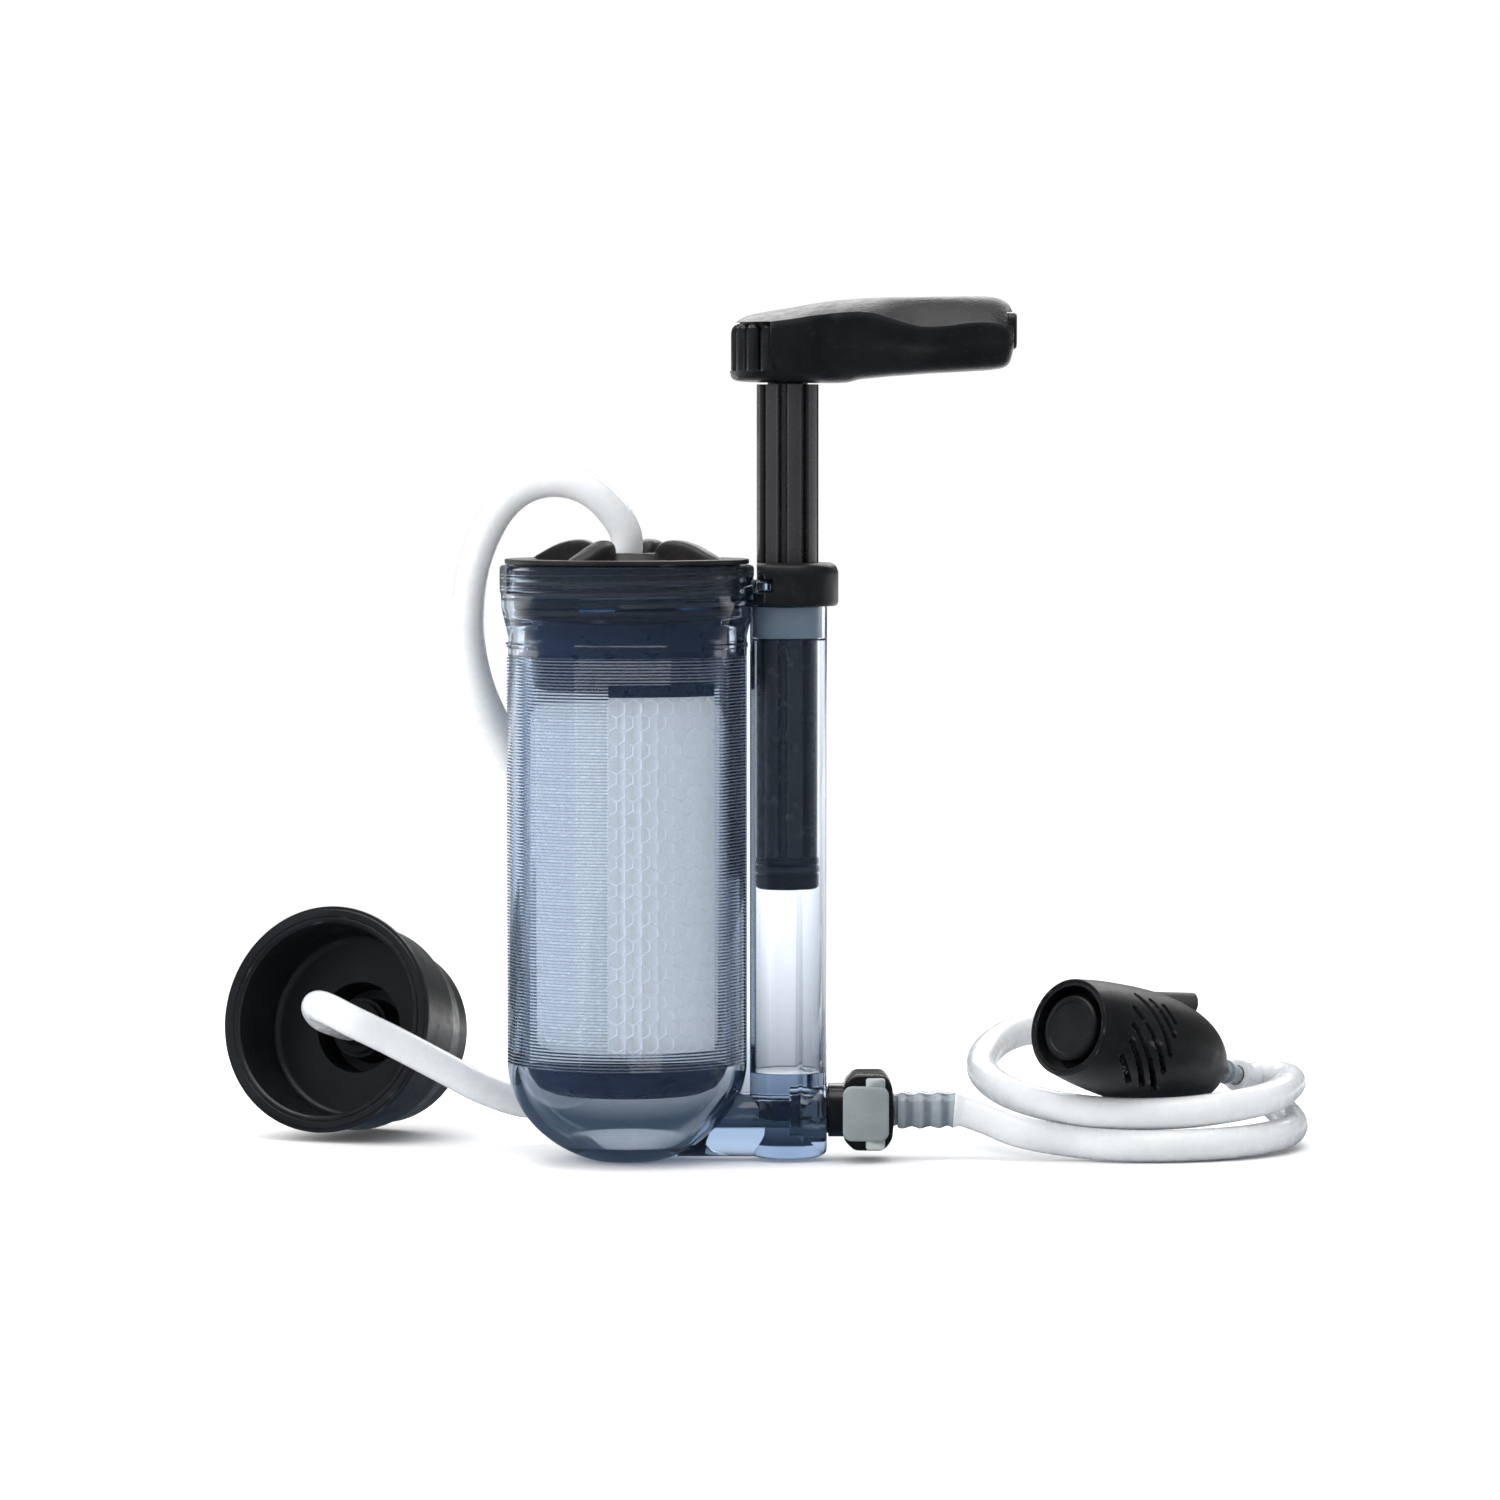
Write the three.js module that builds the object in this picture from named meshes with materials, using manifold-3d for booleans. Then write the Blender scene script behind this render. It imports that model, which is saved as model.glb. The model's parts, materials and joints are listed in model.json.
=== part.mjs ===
// Hand-pump water filter: clear housing with a cartridge and a piston pump, an outlet hose with a
// bottle adapter, and a coiled inlet hose with a prefilter. Millimetres, +Z up. The origin is where
// the housing's axis meets the floor, +X points to the pump, +Y to the back.
import * as THREE from "three";
import { mergeVertices } from "three/addons/utils/BufferGeometryUtils.js";
import Module from "manifold-3d";

const wasm = await Module();
wasm.setup();

// Driving dimensions.
const CLEAR = 0.3; // gap between separate pieces
const BODY_R = 28.9;
const BODY_WALL = 2.6;
const DOME_H = 24.2; // height where the round bottom meets the straight wall
const DOME_B = 25.2;
const FLOOR_Z = 5;
const RIM_R = 30.5;
const RIM_TOP = 143;
const RIM_BORE = 27.6;
const RIM_LEDGE_Z = 131;
const THREAD_PITCH = 2.64;
const THREAD_R = 27.2;
const THREAD_START_Z = 133.9;
const THREAD_TURNS = 2.25;

const PUMP_X = 38.5;
const PUMP_R = 9.5;
const PUMP_BORE = 8;
const PUMP_FLOOR = 21.1;
const PUMP_TOP = 139.4;
const BUSH_Z = 125.2; // step in the cylinder that carries the guide bush
const BUSH_BORE = 8.7;
const VALVE_Z = 11.95; // axis of the valve passage and of the coupling
const PASSAGE_R = 4;
const SOCKET_R = 6;
const BLOCK_END = 47.9;

const ROD_R = 7.4;
const ROD_BOTTOM = 73;
const HANDLE_BOTTOM = 186.5;
const HANDLE_END = 93.5;
const HUB_R = 13.9;

const HOSE_R = 3.85;
const HOSE_BORE = 2.5;
const HOSE_SIDES = 8;
const BORE_SIDES = 5;

const LID_RING_R = 29.3;
const LID_TOP = 144.5;
const RIDGE_TOP = 149;

const FINE = 24; // segments round the housing
const ROUND = 18; // segments round mid-size pieces
const SMALL = 10; // segments round small pieces

// Solid tools: a three.js geometry becomes a solid, solids are joined or cut, and a solid becomes
// a geometry again.
function solid(geometry) {
  const bare = geometry.clone();
  bare.deleteAttribute("normal");
  bare.deleteAttribute("uv");
  const merged = mergeVertices(bare, 1e-4);
  const mesh = new wasm.Mesh({
    numProp: 3,
    vertProperties: new Float32Array(merged.attributes.position.array),
    triVerts: new Uint32Array(merged.index.array),
  });
  return new wasm.Manifold(mesh);
}

function geometryOf(manifold) {
  const mesh = manifold.getMesh();
  const geometry = new THREE.BufferGeometry();
  geometry.setAttribute("position", new THREE.BufferAttribute(mesh.vertProperties, 3));
  geometry.setIndex(new THREE.BufferAttribute(mesh.triVerts, 1));
  return geometry;
}

function join(...geometries) {
  return geometryOf(geometries.map(solid).reduce((a, b) => a.add(b)));
}

function cut(geometry, ...tools) {
  return geometryOf(tools.map(solid).reduce((a, b) => a.subtract(b), solid(geometry)));
}

function keep(geometry, other) {
  return geometryOf(solid(geometry).intersect(solid(other)));
}

// Shape helpers. A profile is a list of [radius, height] points; it is closed through the axis or
// on itself, and turned so that the faces point out.
function lathe(profile, segments = ROUND) {
  const points = profile.map(([r, z]) => new THREE.Vector2(r, z));
  const onAxis = points.some((point) => point.x === 0);
  if (!onAxis) points.push(points[0].clone());
  if (THREE.ShapeUtils.area(points) < 0) points.reverse();
  return new THREE.LatheGeometry(points, segments).rotateX(Math.PI / 2);
}

function tube(outer, inner, low, high, segments = ROUND) {
  return lathe([[inner, low], [outer, low], [outer, high], [inner, high]], segments);
}

function disc(radius, low, high, segments = ROUND) {
  return lathe([[0, low], [radius, low], [radius, high], [0, high]], segments);
}

function box(x0, x1, y0, y1, z0, z1) {
  const block = new THREE.BoxGeometry(x1 - x0, y1 - y0, z1 - z0);
  return block.translate((x0 + x1) / 2, (y0 + y1) / 2, (z0 + z1) / 2);
}

function torus(radius, section, z, segments = ROUND) {
  return new THREE.TorusGeometry(radius, section, 6, segments).translate(0, 0, z);
}

// Turns a shape made round Z so that its axis lies along +X, at the valve passage's height.
function alongX(geometry) {
  return geometry.rotateY(Math.PI / 2).translate(0, 0, VALVE_Z);
}

// Flat shape from a list of [x, y] corners.
function polygon(corners) {
  return new THREE.Shape(corners.map(([x, y]) => new THREE.Vector2(x, y)));
}

function polar(radius, turn) {
  return [radius * Math.cos(turn), radius * Math.sin(turn)];
}

function circle(radius, segments) {
  const corners = [];
  for (let i = 0; i < segments; i++) corners.push(polar(radius, (2 * Math.PI * i) / segments));
  return polygon(corners);
}

// Bore of a hose: a polygon that stays outside the bore's circle.
function boreShape() {
  return circle(HOSE_BORE / Math.cos(Math.PI / BORE_SIDES), BORE_SIDES);
}

function roundedRect(x0, x1, y0, y1, r) {
  const shape = new THREE.Shape();
  shape.moveTo(x0 + r, y0);
  shape.lineTo(x1 - r, y0);
  shape.quadraticCurveTo(x1, y0, x1, y0 + r);
  shape.lineTo(x1, y1 - r);
  shape.quadraticCurveTo(x1, y1, x1 - r, y1);
  shape.lineTo(x0 + r, y1);
  shape.quadraticCurveTo(x0, y1, x0, y1 - r);
  shape.lineTo(x0, y0 + r);
  shape.quadraticCurveTo(x0, y0, x0 + r, y0);
  return shape;
}

function swept(shape, path, steps) {
  return new THREE.ExtrudeGeometry(shape, { steps, extrudePath: path, curveSegments: 1 });
}

function smooth(points) {
  return new THREE.CatmullRomCurve3(points.map((p) => new THREE.Vector3(...p)), false, "centripetal");
}

// A helix round Z that starts at angle `turn0` (radians) and height z0.
class Helix extends THREE.Curve {
  constructor(radius, pitch, turns, z0, turn0) {
    super();
    Object.assign(this, { radius, pitch, turns, z0, turn0 });
  }
  getPoint(t, target = new THREE.Vector3()) {
    const turn = this.turn0 + 2 * Math.PI * this.turns * t;
    return target.set(
      this.radius * Math.cos(turn),
      this.radius * Math.sin(turn),
      this.z0 + this.pitch * this.turns * t,
    );
  }
}

function helix(radius, section, pitch, turns, z0, turn0, stepsPerTurn, sides) {
  const curve = new Helix(radius, pitch, turns, z0, turn0);
  return swept(circle(section, sides), curve, Math.round(turns * stepsPerTurn));
}

// Materials.
function material(colour, roughness, metalness = 0) {
  return new THREE.MeshStandardMaterial({ color: colour, roughness, metalness });
}

const CLEAR_BLUE = material(0x8fa3bd, 0.12);
CLEAR_BLUE.transparent = true;
CLEAR_BLUE.opacity = 0.45;
const BLACK = material(0x232427, 0.5);
const RUBBER = material(0x2c3034, 0.65);
const GREY = material(0x97a1a4, 0.45);
const BARB_GREY = material(0x6e7a82, 0.35);
const FROSTED = material(0x97a8ba, 0.4);
const MILKY = material(0xf1f3f4, 0.3);
const NAVY = material(0x24324d, 0.4);
const WHITE = material(0xe8ecf0, 0.7);
const CARBON = material(0x1b1b1d, 0.95);
const STEEL = material(0xb5b8bb, 0.3, 1);

const object = new THREE.Group();

function piece(name, geometry, look, parent = object) {
  const mesh = new THREE.Mesh(geometry, look.clone());
  mesh.name = name;
  parent.add(mesh);
  return mesh;
}

// Half-ellipse of the round bottom, from the flat it stands on up to the straight wall.
function domeCurve(radius, height, flatZ, steps) {
  const start = Math.asin((DOME_H - flatZ) / height);
  const points = [];
  for (let i = 0; i <= steps; i++) {
    const angle = start * (1 - i / steps);
    points.push([radius * Math.cos(angle), DOME_H - height * Math.sin(angle)]);
  }
  return points;
}

// Housing: straight clear body with a round bottom and a wider threaded rim.
function housingBody() {
  return lathe(
    [
      [0, 0],
      ...domeCurve(BODY_R, DOME_B, 0, 7),
      [BODY_R, 126],
      [29.3, 127.8],
      [RIM_R, 133.4],
      [RIM_R, RIM_TOP - 0.5],
      [RIM_R - 0.5, RIM_TOP],
      [0, RIM_TOP],
    ],
    FINE,
  );
}

function housingHollow() {
  const inner = BODY_R - BODY_WALL;
  return lathe(
    [
      [0, FLOOR_Z],
      ...domeCurve(inner, DOME_B - BODY_WALL + 0.3, FLOOR_Z, 5),
      [inner, 129],
      [RIM_BORE, RIM_LEDGE_Z],
      [RIM_BORE, RIM_TOP - 0.4],
      [RIM_BORE + 0.5, RIM_TOP + 1],
      [0, RIM_TOP + 1],
    ],
    FINE,
  );
}

// Groove in the rim that the lid's thread runs in; it leaves through the rim's top.
function threadGroove() {
  const turns = THREAD_TURNS + 2.1;
  const start = THREAD_START_Z - THREAD_PITCH * 0.06;
  const turn0 = -Math.PI / 2 - 2 * Math.PI * 0.06;
  return helix(THREAD_R + CLEAR, 1.45, THREAD_PITCH, turns, start, turn0, 16, 4);
}

// Pump cylinder with its two bayonet lugs, the valve block under it and the web to the body.
function pumpCylinder() {
  const barrel = lathe(
    [
      [0, 0.7],
      [PUMP_R - 2, 0.7],
      [PUMP_R - 0.6, 1.3],
      [PUMP_R, 2.7],
      [PUMP_R, PUMP_TOP],
      [0, PUMP_TOP],
    ],
    ROUND,
  ).translate(PUMP_X, 0, 0);
  const lugs = box(31.2, 34.6, -PUMP_R - 1.4, PUMP_R + 1.4, 137, PUMP_TOP - 0.2);
  const web = box(BODY_R - 2, PUMP_X - PUMP_BORE, -3, 3, 10, 138);
  const block = lathe([
    [0, 36],
    [9.2, 36],
    [9.2, BLOCK_END - 1.8],
    [8.6, BLOCK_END - 0.5],
    [8, BLOCK_END],
    [0, BLOCK_END],
  ])
    .rotateY(Math.PI / 2)
    .translate(0, 0, 9.9);
  const arm = disc(7.9, 12, 40, ROUND).rotateY(Math.PI / 2).translate(0, 0, 8.6);
  return join(barrel, lugs, web, block, arm);
}

function pumpHollow() {
  const bore = lathe(
    [
      [0, PUMP_FLOOR],
      [PUMP_BORE, PUMP_FLOOR],
      [PUMP_BORE, BUSH_Z],
      [BUSH_BORE, BUSH_Z],
      [BUSH_BORE, RIM_TOP + 1],
      [0, RIM_TOP + 1],
    ],
    ROUND,
  ).translate(PUMP_X, 0, 0);
  const port = disc(1.9, VALVE_Z, PUMP_FLOOR + 1, SMALL).translate(43.6, 0, 0);
  const passage = alongX(disc(PASSAGE_R, 19, BLOCK_END + 1, SMALL));
  const socket = alongX(disc(SOCKET_R, 38.9, BLOCK_END + 1, ROUND));
  return join(bore, port, passage, socket);
}

function housing() {
  const shell = join(housingBody(), pumpCylinder());
  return cut(shell, housingHollow(), pumpHollow(), threadGroove());
}

// Valve carrier: flange in the socket with a nose that is the outlet valve's seat, and three pegs
// that stop the inlet valve's disc.
function valveCarrier() {
  const body = lathe(
    [
      [2, 35.8],
      [3.7, 35.8],
      [3.7, 39.2],
      [5.7, 39.2],
      [5.7, 41.4],
      [2, 41.4],
    ],
    ROUND,
  );
  const pegs = [0, 1, 2].map((i) => {
    const turn = (2 * Math.PI * i) / 3;
    const peg = disc(0.7, 41, 44.1, 8);
    return peg.translate(2.9 * Math.cos(turn), 2.9 * Math.sin(turn), 0);
  });
  return alongX(join(body, ...pegs));
}

function valveDisc(x) {
  return alongX(disc(3.2, x, x + 1, SMALL));
}

// Quick coupling socket: spigot and neck in the housing, and a chamfered block with a bore for
// the insert and a slot for the latch blade.
const SOCKET_BODY = { x0: 51.9, x1: 64.2, half: 9.15, side: 7.8, chamfer: 2.6 };
const BLADE = { x0: 58.2, x1: 60.8 };

function couplingBody() {
  const { x0, x1, half, side, chamfer } = SOCKET_BODY;
  const outline = polygon([
    [x0 + chamfer, -half],
    [x1 - chamfer, -half],
    [x1 - 0.6, -half + chamfer],
    [x1, 0],
    [x1 - 0.6, half - chamfer],
    [x1 - chamfer, half],
    [x0 + chamfer, half],
    [x0, half - chamfer],
    [x0, -half + chamfer],
  ]);
  const block = new THREE.ExtrudeGeometry(outline, {
    depth: 2 * side - 2,
    bevelThickness: 1,
    bevelSize: 1,
    bevelOffset: -1,
    bevelSegments: 2,
  })
    .rotateX(Math.PI / 2)
    .translate(0, side - 1, VALVE_Z);
  const neck = alongX(
    lathe([
      [0, 46.9],
      [5.1, 46.9],
      [5.1, 47.2],
      [4.8, 47.4],
      [5.6, 47.5],
      [5.6, 48.3],
      [6.5, 48.3],
      [6.5, 53],
      [0, 53],
    ]),
  );
  const bore = alongX(
    lathe([[0, 46], [2, 46], [2, 52.3], [4.3, 52.3], [4.3, 65], [0, 65]], SMALL),
  );
  const slot = box(BLADE.x0 - CLEAR, BLADE.x1 + CLEAR, -9, 9, VALVE_Z - 8.1, VALVE_Z + 8.1);
  const pocket = disc(1.9, 0, 4, SMALL)
    .rotateX(Math.PI / 2)
    .translate(54.8, -4.9, VALVE_Z);
  return cut(join(block, neck), bore, slot, pocket);
}

// Latch button: rounded front plate with a blade that reaches round the insert.
function latchButton() {
  const plate = roundedRect(51.7, 62.7, 5.5, 18.6, 2);
  const front = new THREE.ExtrudeGeometry(plate, {
    depth: 1.2,
    curveSegments: 4,
    bevelThickness: 0.5,
    bevelSize: 0.5,
    bevelOffset: -0.5,
    bevelSegments: 2,
  })
    .rotateX(Math.PI / 2)
    .translate(0, -10, 0);
  const blade = box(BLADE.x0, BLADE.x1, -10.2, 5.6, VALVE_Z - 7.7, VALVE_Z + 7.7);
  const hole = alongX(disc(4.9, 55, 64, SMALL));
  const longHole = join(hole, hole.clone().translate(0, -1.8, 0));
  return cut(join(front, blade), longHole);
}

function latchSpring() {
  const coil = helix(1.3, 0.25, 0.95, 4, 0, 0, 9, 4);
  return coil.rotateX(Math.PI / 2).translate(54.8, -5.2, VALVE_Z);
}

// Coupling insert: nose for the socket with an O-ring groove, then a ridged hose barb.
function couplingInsert() {
  const profile = [
    [1.4, 53],
    [3.6, 53],
    [4, 53.5],
    [4, 54.6],
    [3, 54.6],
    [3, 56.4],
    [4, 56.4],
    [4, 57.8],
    [3.2, 58.2],
    [3.2, 60.8],
    [4, 61.2],
    [4, 64],
  ];
  const ridges = 3;
  const ridgePitch = 4.3;
  for (let i = 0; i < ridges; i++) {
    const x = 65 + i * ridgePitch;
    profile.push([3.5, x + 0.5], [2.9, x + ridgePitch]);
  }
  profile.push([2.6, 78.2], [1.4, 78.2]);
  return alongX(lathe(profile, SMALL));
}

// Inlet hose: from the coupling along the front, round the coil, and curled on to the prefilter.
const COIL = { x: 124.5, y: 30.5, radius: 38 };

function coilPoint(degrees, z, inset = 0) {
  const turn = THREE.MathUtils.degToRad(degrees);
  const reach = COIL.radius - inset;
  return [COIL.x + reach * Math.cos(turn), COIL.y + reach * Math.sin(turn), z];
}

const PREFILTER_TIP = [150.5, 35.2, 16.3]; // where the hose ends on the prefilter's barb
const PREFILTER_DIRECTION = new THREE.Vector3(-0.68, -0.688, 0.25).normalize(); // tail to open end

function prefilterPoint(distance) {
  const tip = new THREE.Vector3(...PREFILTER_TIP);
  return tip.addScaledVector(PREFILTER_DIRECTION, distance).toArray();
}

const INLET_START = 65;
const INLET_PATH = [
  [INLET_START, 0, VALVE_Z],
  [72, 0, VALVE_Z],
  [79.5, 0, VALVE_Z],
  [86, -0.6, 10],
  [94, -2.6, 7],
  coilPoint(-118, 4.6, 0.5),
  coilPoint(-100, 4.1),
  coilPoint(-80, 4),
  coilPoint(-55, 4.1),
  coilPoint(-30, 4.5),
  coilPoint(-5, 5.2),
  coilPoint(20, 7.8),
  coilPoint(45, 14.5),
  coilPoint(75, 21.5),
  coilPoint(105, 25),
  coilPoint(135, 25.5),
  coilPoint(160, 22.5),
  coilPoint(185, 18.4),
  coilPoint(210, 14.8, 1),
  coilPoint(235, 12.4, 2.2),
  coilPoint(260, 11.4, 3),
  coilPoint(285, 11.6, 3),
  coilPoint(310, 12.8, 2),
  coilPoint(330, 13.8, 1.4),
  coilPoint(348, 14.9, 1.2),
  [162.1, 31.2, 15.7],
  [160.4, 36.4, 16],
  [155.6, 38.9, 15.8],
  prefilterPoint(-2.4),
  prefilterPoint(2),
];

function inletHose() {
  const line = swept(circle(HOSE_R, HOSE_SIDES), smooth(INLET_PATH), 56);
  const sleeve = alongX(
    lathe([
      [0, INLET_START],
      [4.5, INLET_START],
      [4.65, 66],
      [4.65, 77.4],
      [4.2, 78.6],
      [3.6, 80],
      [0, 80],
    ]),
  );
  const bore = swept(boreShape(), smooth(INLET_PATH), 56);
  const barbRoom = alongX(disc(3.9, INLET_START - 1, 78.5, SMALL));
  const tip = smooth([prefilterPoint(1), prefilterPoint(4)]);
  const openEnd = swept(boreShape(), tip, 1);
  return cut(join(line, sleeve), bore, barbRoom, openEnd);
}

// Prefilter, modelled along +Z with its tail at 0 and its open end at the top, then turned.
const PREFILTER = { length: 53, wall: 1.6, mouth: 11.75 };
const SHELL_CURVE = [
  [4.6, 0],
  [7.6, 2.2],
  [10.4, 6.5],
  [12.6, 13],
  [13.8, 21],
  [13.9, 31],
  [12.9, 45],
  [PREFILTER.mouth, PREFILTER.length],
];

function prefilterFrame() {
  const group = new THREE.Group();
  group.position.set(...prefilterPoint(13));
  group.quaternion.setFromUnitVectors(new THREE.Vector3(0, 0, 1), PREFILTER_DIRECTION);
  return group;
}

// Slots slanting across the shell: angle and height of each one's lower and upper end. The same
// set is cut again on the opposite side.
const SLOTS = [
  [-94, 38.1, -66, 46.2],
  [-94, 33.4, -46, 45.1],
  [-95, 28.8, -29, 44.7],
  [-72, 30.1, -8, 43.5],
  [-55, 30.2, 13, 40],
  [-35, 29.7, 8, 35.6],
  [-20, 29, 4, 31.5],
];
const SLOT_HEIGHT = 2;

function shellSlot([low, lowZ, high, highZ]) {
  const start = THREE.MathUtils.degToRad(low);
  const sweep = THREE.MathUtils.degToRad(high - low);
  const steps = Math.max(2, Math.round((high - low) / 14));
  const outer = [];
  const inner = [];
  for (let i = 0; i <= steps; i++) {
    const turn = start + (sweep * i) / steps;
    outer.push(polar(17, turn));
    inner.unshift(polar(10, turn));
  }
  const arc = polygon([...outer, ...inner]);
  const slot = new THREE.ExtrudeGeometry(arc, { depth: SLOT_HEIGHT, bevelEnabled: false });
  const at = slot.attributes.position;
  for (let i = 0; i < at.count; i++) {
    const share = (Math.atan2(at.getY(i), at.getX(i)) - start) / sweep;
    at.setZ(i, at.getZ(i) - SLOT_HEIGHT / 2 + lowZ + (highZ - lowZ) * share);
  }
  return slot;
}

function shellSlots(side) {
  return SLOTS.map((ends) => shellSlot(ends).rotateZ(side));
}

// Peg on the far side: it lies along the shell and comes out of it towards the tail.
const PEG = { radius: 2.5, from: [4.3, 10.3, 30.9], to: [11.7, 7.8, 12.6] };

function pegRod(radius, beyond) {
  const start = new THREE.Vector3(...PEG.from);
  const along = new THREE.Vector3(...PEG.to).sub(start);
  const rod = disc(radius, -beyond, along.length() + beyond, 12);
  const turn = new THREE.Quaternion();
  turn.setFromUnitVectors(new THREE.Vector3(0, 0, 1), along.normalize());
  return rod.applyQuaternion(turn).translate(...PEG.from);
}

function prefilterShell() {
  const inner = SHELL_CURVE.map(([r, z]) => [r - PREFILTER.wall, z]);
  inner[0] = [2.6, -1];
  inner[1] = [2.6, 2.6];
  inner.splice(2, 0, [6.2, 4.2]);
  inner[inner.length - 1] = [PREFILTER.mouth - 1.1, PREFILTER.length + 1];
  const outside = lathe([[0, 0], ...SHELL_CURVE, [0, PREFILTER.length]], 20);
  const inside = lathe([[0, -1], ...inner, [0, PREFILTER.length + 1]], 20);
  const pegHole = pegRod(PEG.radius + CLEAR, 0.5);
  return cut(outside, inside, ...shellSlots(0), ...shellSlots(Math.PI), pegHole);
}

function prefilterPeg() {
  return pegRod(PEG.radius, 0);
}

function prefilterPlug() {
  return lathe(
    [
      [0, 44.6],
      [10.2, 44.6],
      [10.2, 46],
      [8, 46.4],
      [8, 52.2],
      [7.4, 52.8],
      [0, 52.8],
    ],
    ROUND,
  );
}

function prefilterScreen() {
  return tube(8.1, 7.4, 14, 44.2, ROUND);
}

function prefilterBarb() {
  const profile = [
    [1.2, -15.5],
    [1.5, -15.5],
    [2.1, -12.8],
    [1.9, -12.7],
    [2.3, -10.4],
    [2.3, 3],
    [5.6, 4.6],
    [5.6, 6.2],
    [1.2, 6.2],
  ];
  const rings = [-1.6, -4.2, -6.8].map((z, i) =>
    lathe([[2, z - 1.6], [3.4 - 0.2 * i, z], [2, z]], SMALL),
  );
  return join(lathe(profile, SMALL), ...rings);
}

// Lid: flange on the rim, threaded skirt, and in the middle a socket for the cartridge below and
// the outlet port above.
function lidBody() {
  return lathe(
    [
      [3, 138],
      [3, 142.9],
      [6.8, 143],
      [8.2, 146],
      [10.4, 146],
      [13, 143.4],
      [22.6, 143.2],
      [23.6, LID_TOP],
      [LID_RING_R, LID_TOP],
      [LID_RING_R, RIM_TOP + CLEAR],
      [27.1, RIM_TOP + CLEAR],
      [27.1, 133.2],
      [25.3, 133.2],
      [25.3, 131.1],
      [27, 130.9],
      [26.2, 129.7],
      [24.4, 129.7],
      [24.4, 140],
      [8.5, 140],
      [8.5, 126.5],
      [5.5, 126.5],
      [5.5, 138],
    ],
    FINE,
  );
}

function lidRidge(turn) {
  const side = polygon([
    [7.6, 141],
    [26.6, 141],
    [26.6, 144.8],
    [19.5, 147.6],
    [16, 148.6],
    [13, RIDGE_TOP],
    [10, 148.6],
    [7.6, 145.6],
  ]);
  const ridge = new THREE.ExtrudeGeometry(side, {
    depth: 3,
    bevelThickness: 1.2,
    bevelSize: 1,
    bevelOffset: -1,
    bevelSegments: 2,
  });
  return ridge.rotateX(Math.PI / 2).translate(0, 1.5, 0).rotateZ(turn);
}

function lid() {
  const thread = helix(THREAD_R, 0.9, THREAD_PITCH, THREAD_TURNS, THREAD_START_Z, -Math.PI / 2, 16, 4);
  const ridges = [-120, -30, 60, 150].map((a) => lidRidge(THREE.MathUtils.degToRad(a)));
  return join(lidBody(), thread, ...ridges);
}

function outletBarb() {
  return lathe(
    [
      [1.3, 138.6],
      [2.7, 138.6],
      [2.7, 143.4],
      [5, 143.4],
      [5, 144.8],
      [2, 144.8],
      [2, 146.8],
      [2.25, 147],
      [1.9, 149],
      [1.6, 150],
      [1.3, 150],
    ],
    SMALL,
  );
}

// Outlet hose: up from the lid, over and down behind the housing, then round to the adapter.
const ADAPTER_CENTRE = [-75.4, 39, 30.2]; // middle of the adapter's open rim
const ADAPTER_AXIS = new THREE.Vector3(-0.39, -0.9, 0.2).normalize(); // back to open side

function adapterPoint(distance) {
  const centre = new THREE.Vector3(...ADAPTER_CENTRE);
  return centre.addScaledVector(ADAPTER_AXIS, distance).toArray();
}

const OUTLET_PATH = [
  [0, 0, 145.2],
  [-0.2, 0, 150],
  [-2.4, 0, 154.5],
  [-7.5, 0.2, 159.8],
  [-12.4, 0.6, 162.3],
  [-18, 1.2, 163],
  [-24, 2, 161.6],
  [-29, 2.8, 158],
  [-33.2, 3.8, 152],
  [-36.6, 5, 143.5],
  [-38.2, 6.4, 134],
  [-38.2, 8.4, 124],
  [-36, 12, 113],
  [-31, 18.5, 101],
  [-23.5, 26.5, 86],
  [-14, 33, 68],
  [-6.5, 36.2, 50],
  [-3.8, 36.5, 33],
  [-6.8, 34.8, 19],
  [-14.5, 31, 11.6],
  [-24.5, 27, 10.8],
  [-35, 24, 14.2],
  [-46, 21.8, 20.2],
  [-58, 19.6, 26.8],
  [-67.5, 18.2, 31.6],
  [-73.6, 20.6, 34.4],
  [-76.4, 26.6, 34.4],
  [-76, 34, 31.8],
  adapterPoint(-8),
  adapterPoint(-14),
];

function outletHose() {
  const path = smooth(OUTLET_PATH);
  const wall = circle(HOSE_R, HOSE_SIDES);
  wall.holes.push(boreShape());
  return swept(wall, path, 46);
}

// Bottle adapter, modelled along +Z with its open rim at 0 and its back below, then turned.
function adapterFrame() {
  const group = new THREE.Group();
  group.position.set(...ADAPTER_CENTRE);
  group.quaternion.setFromUnitVectors(new THREE.Vector3(0, 0, 1), ADAPTER_AXIS);
  return group;
}

function bottleAdapter() {
  return lathe(
    [
      [28.1, 0],
      [28.1, -1.6],
      [26.6, -3],
      [25.6, -20],
      [24.6, -21],
      [23.2, -28.6],
      [22.4, -35],
      [20.6, -36.4],
      [18.6, -36.4],
      [12, -21.4],
      [5, -21.4],
      [5, -19.2],
      [11.4, -19.2],
      [12.4, -17.6],
      [18.6, -31.6],
      [20.6, -33],
      [21.4, -20],
      [22.7, -18.6],
      [23.9, 0],
    ],
    FINE,
  );
}

function adapterNipple() {
  return lathe(
    [
      [1.3, -8.6],
      [1.9, -8.6],
      [2.2, -10.6],
      [2, -10.7],
      [2.2, -13],
      [2.2, -14.8],
      [4.6, -16],
      [4.6, -17.2],
      [6.6, -17.4],
      [6.6, -18.9],
      [4.7, -18.9],
      [4.7, -21.7],
      [6.2, -21.7],
      [5.4, -24],
      [1.3, -24],
    ],
    SMALL,
  );
}

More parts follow.
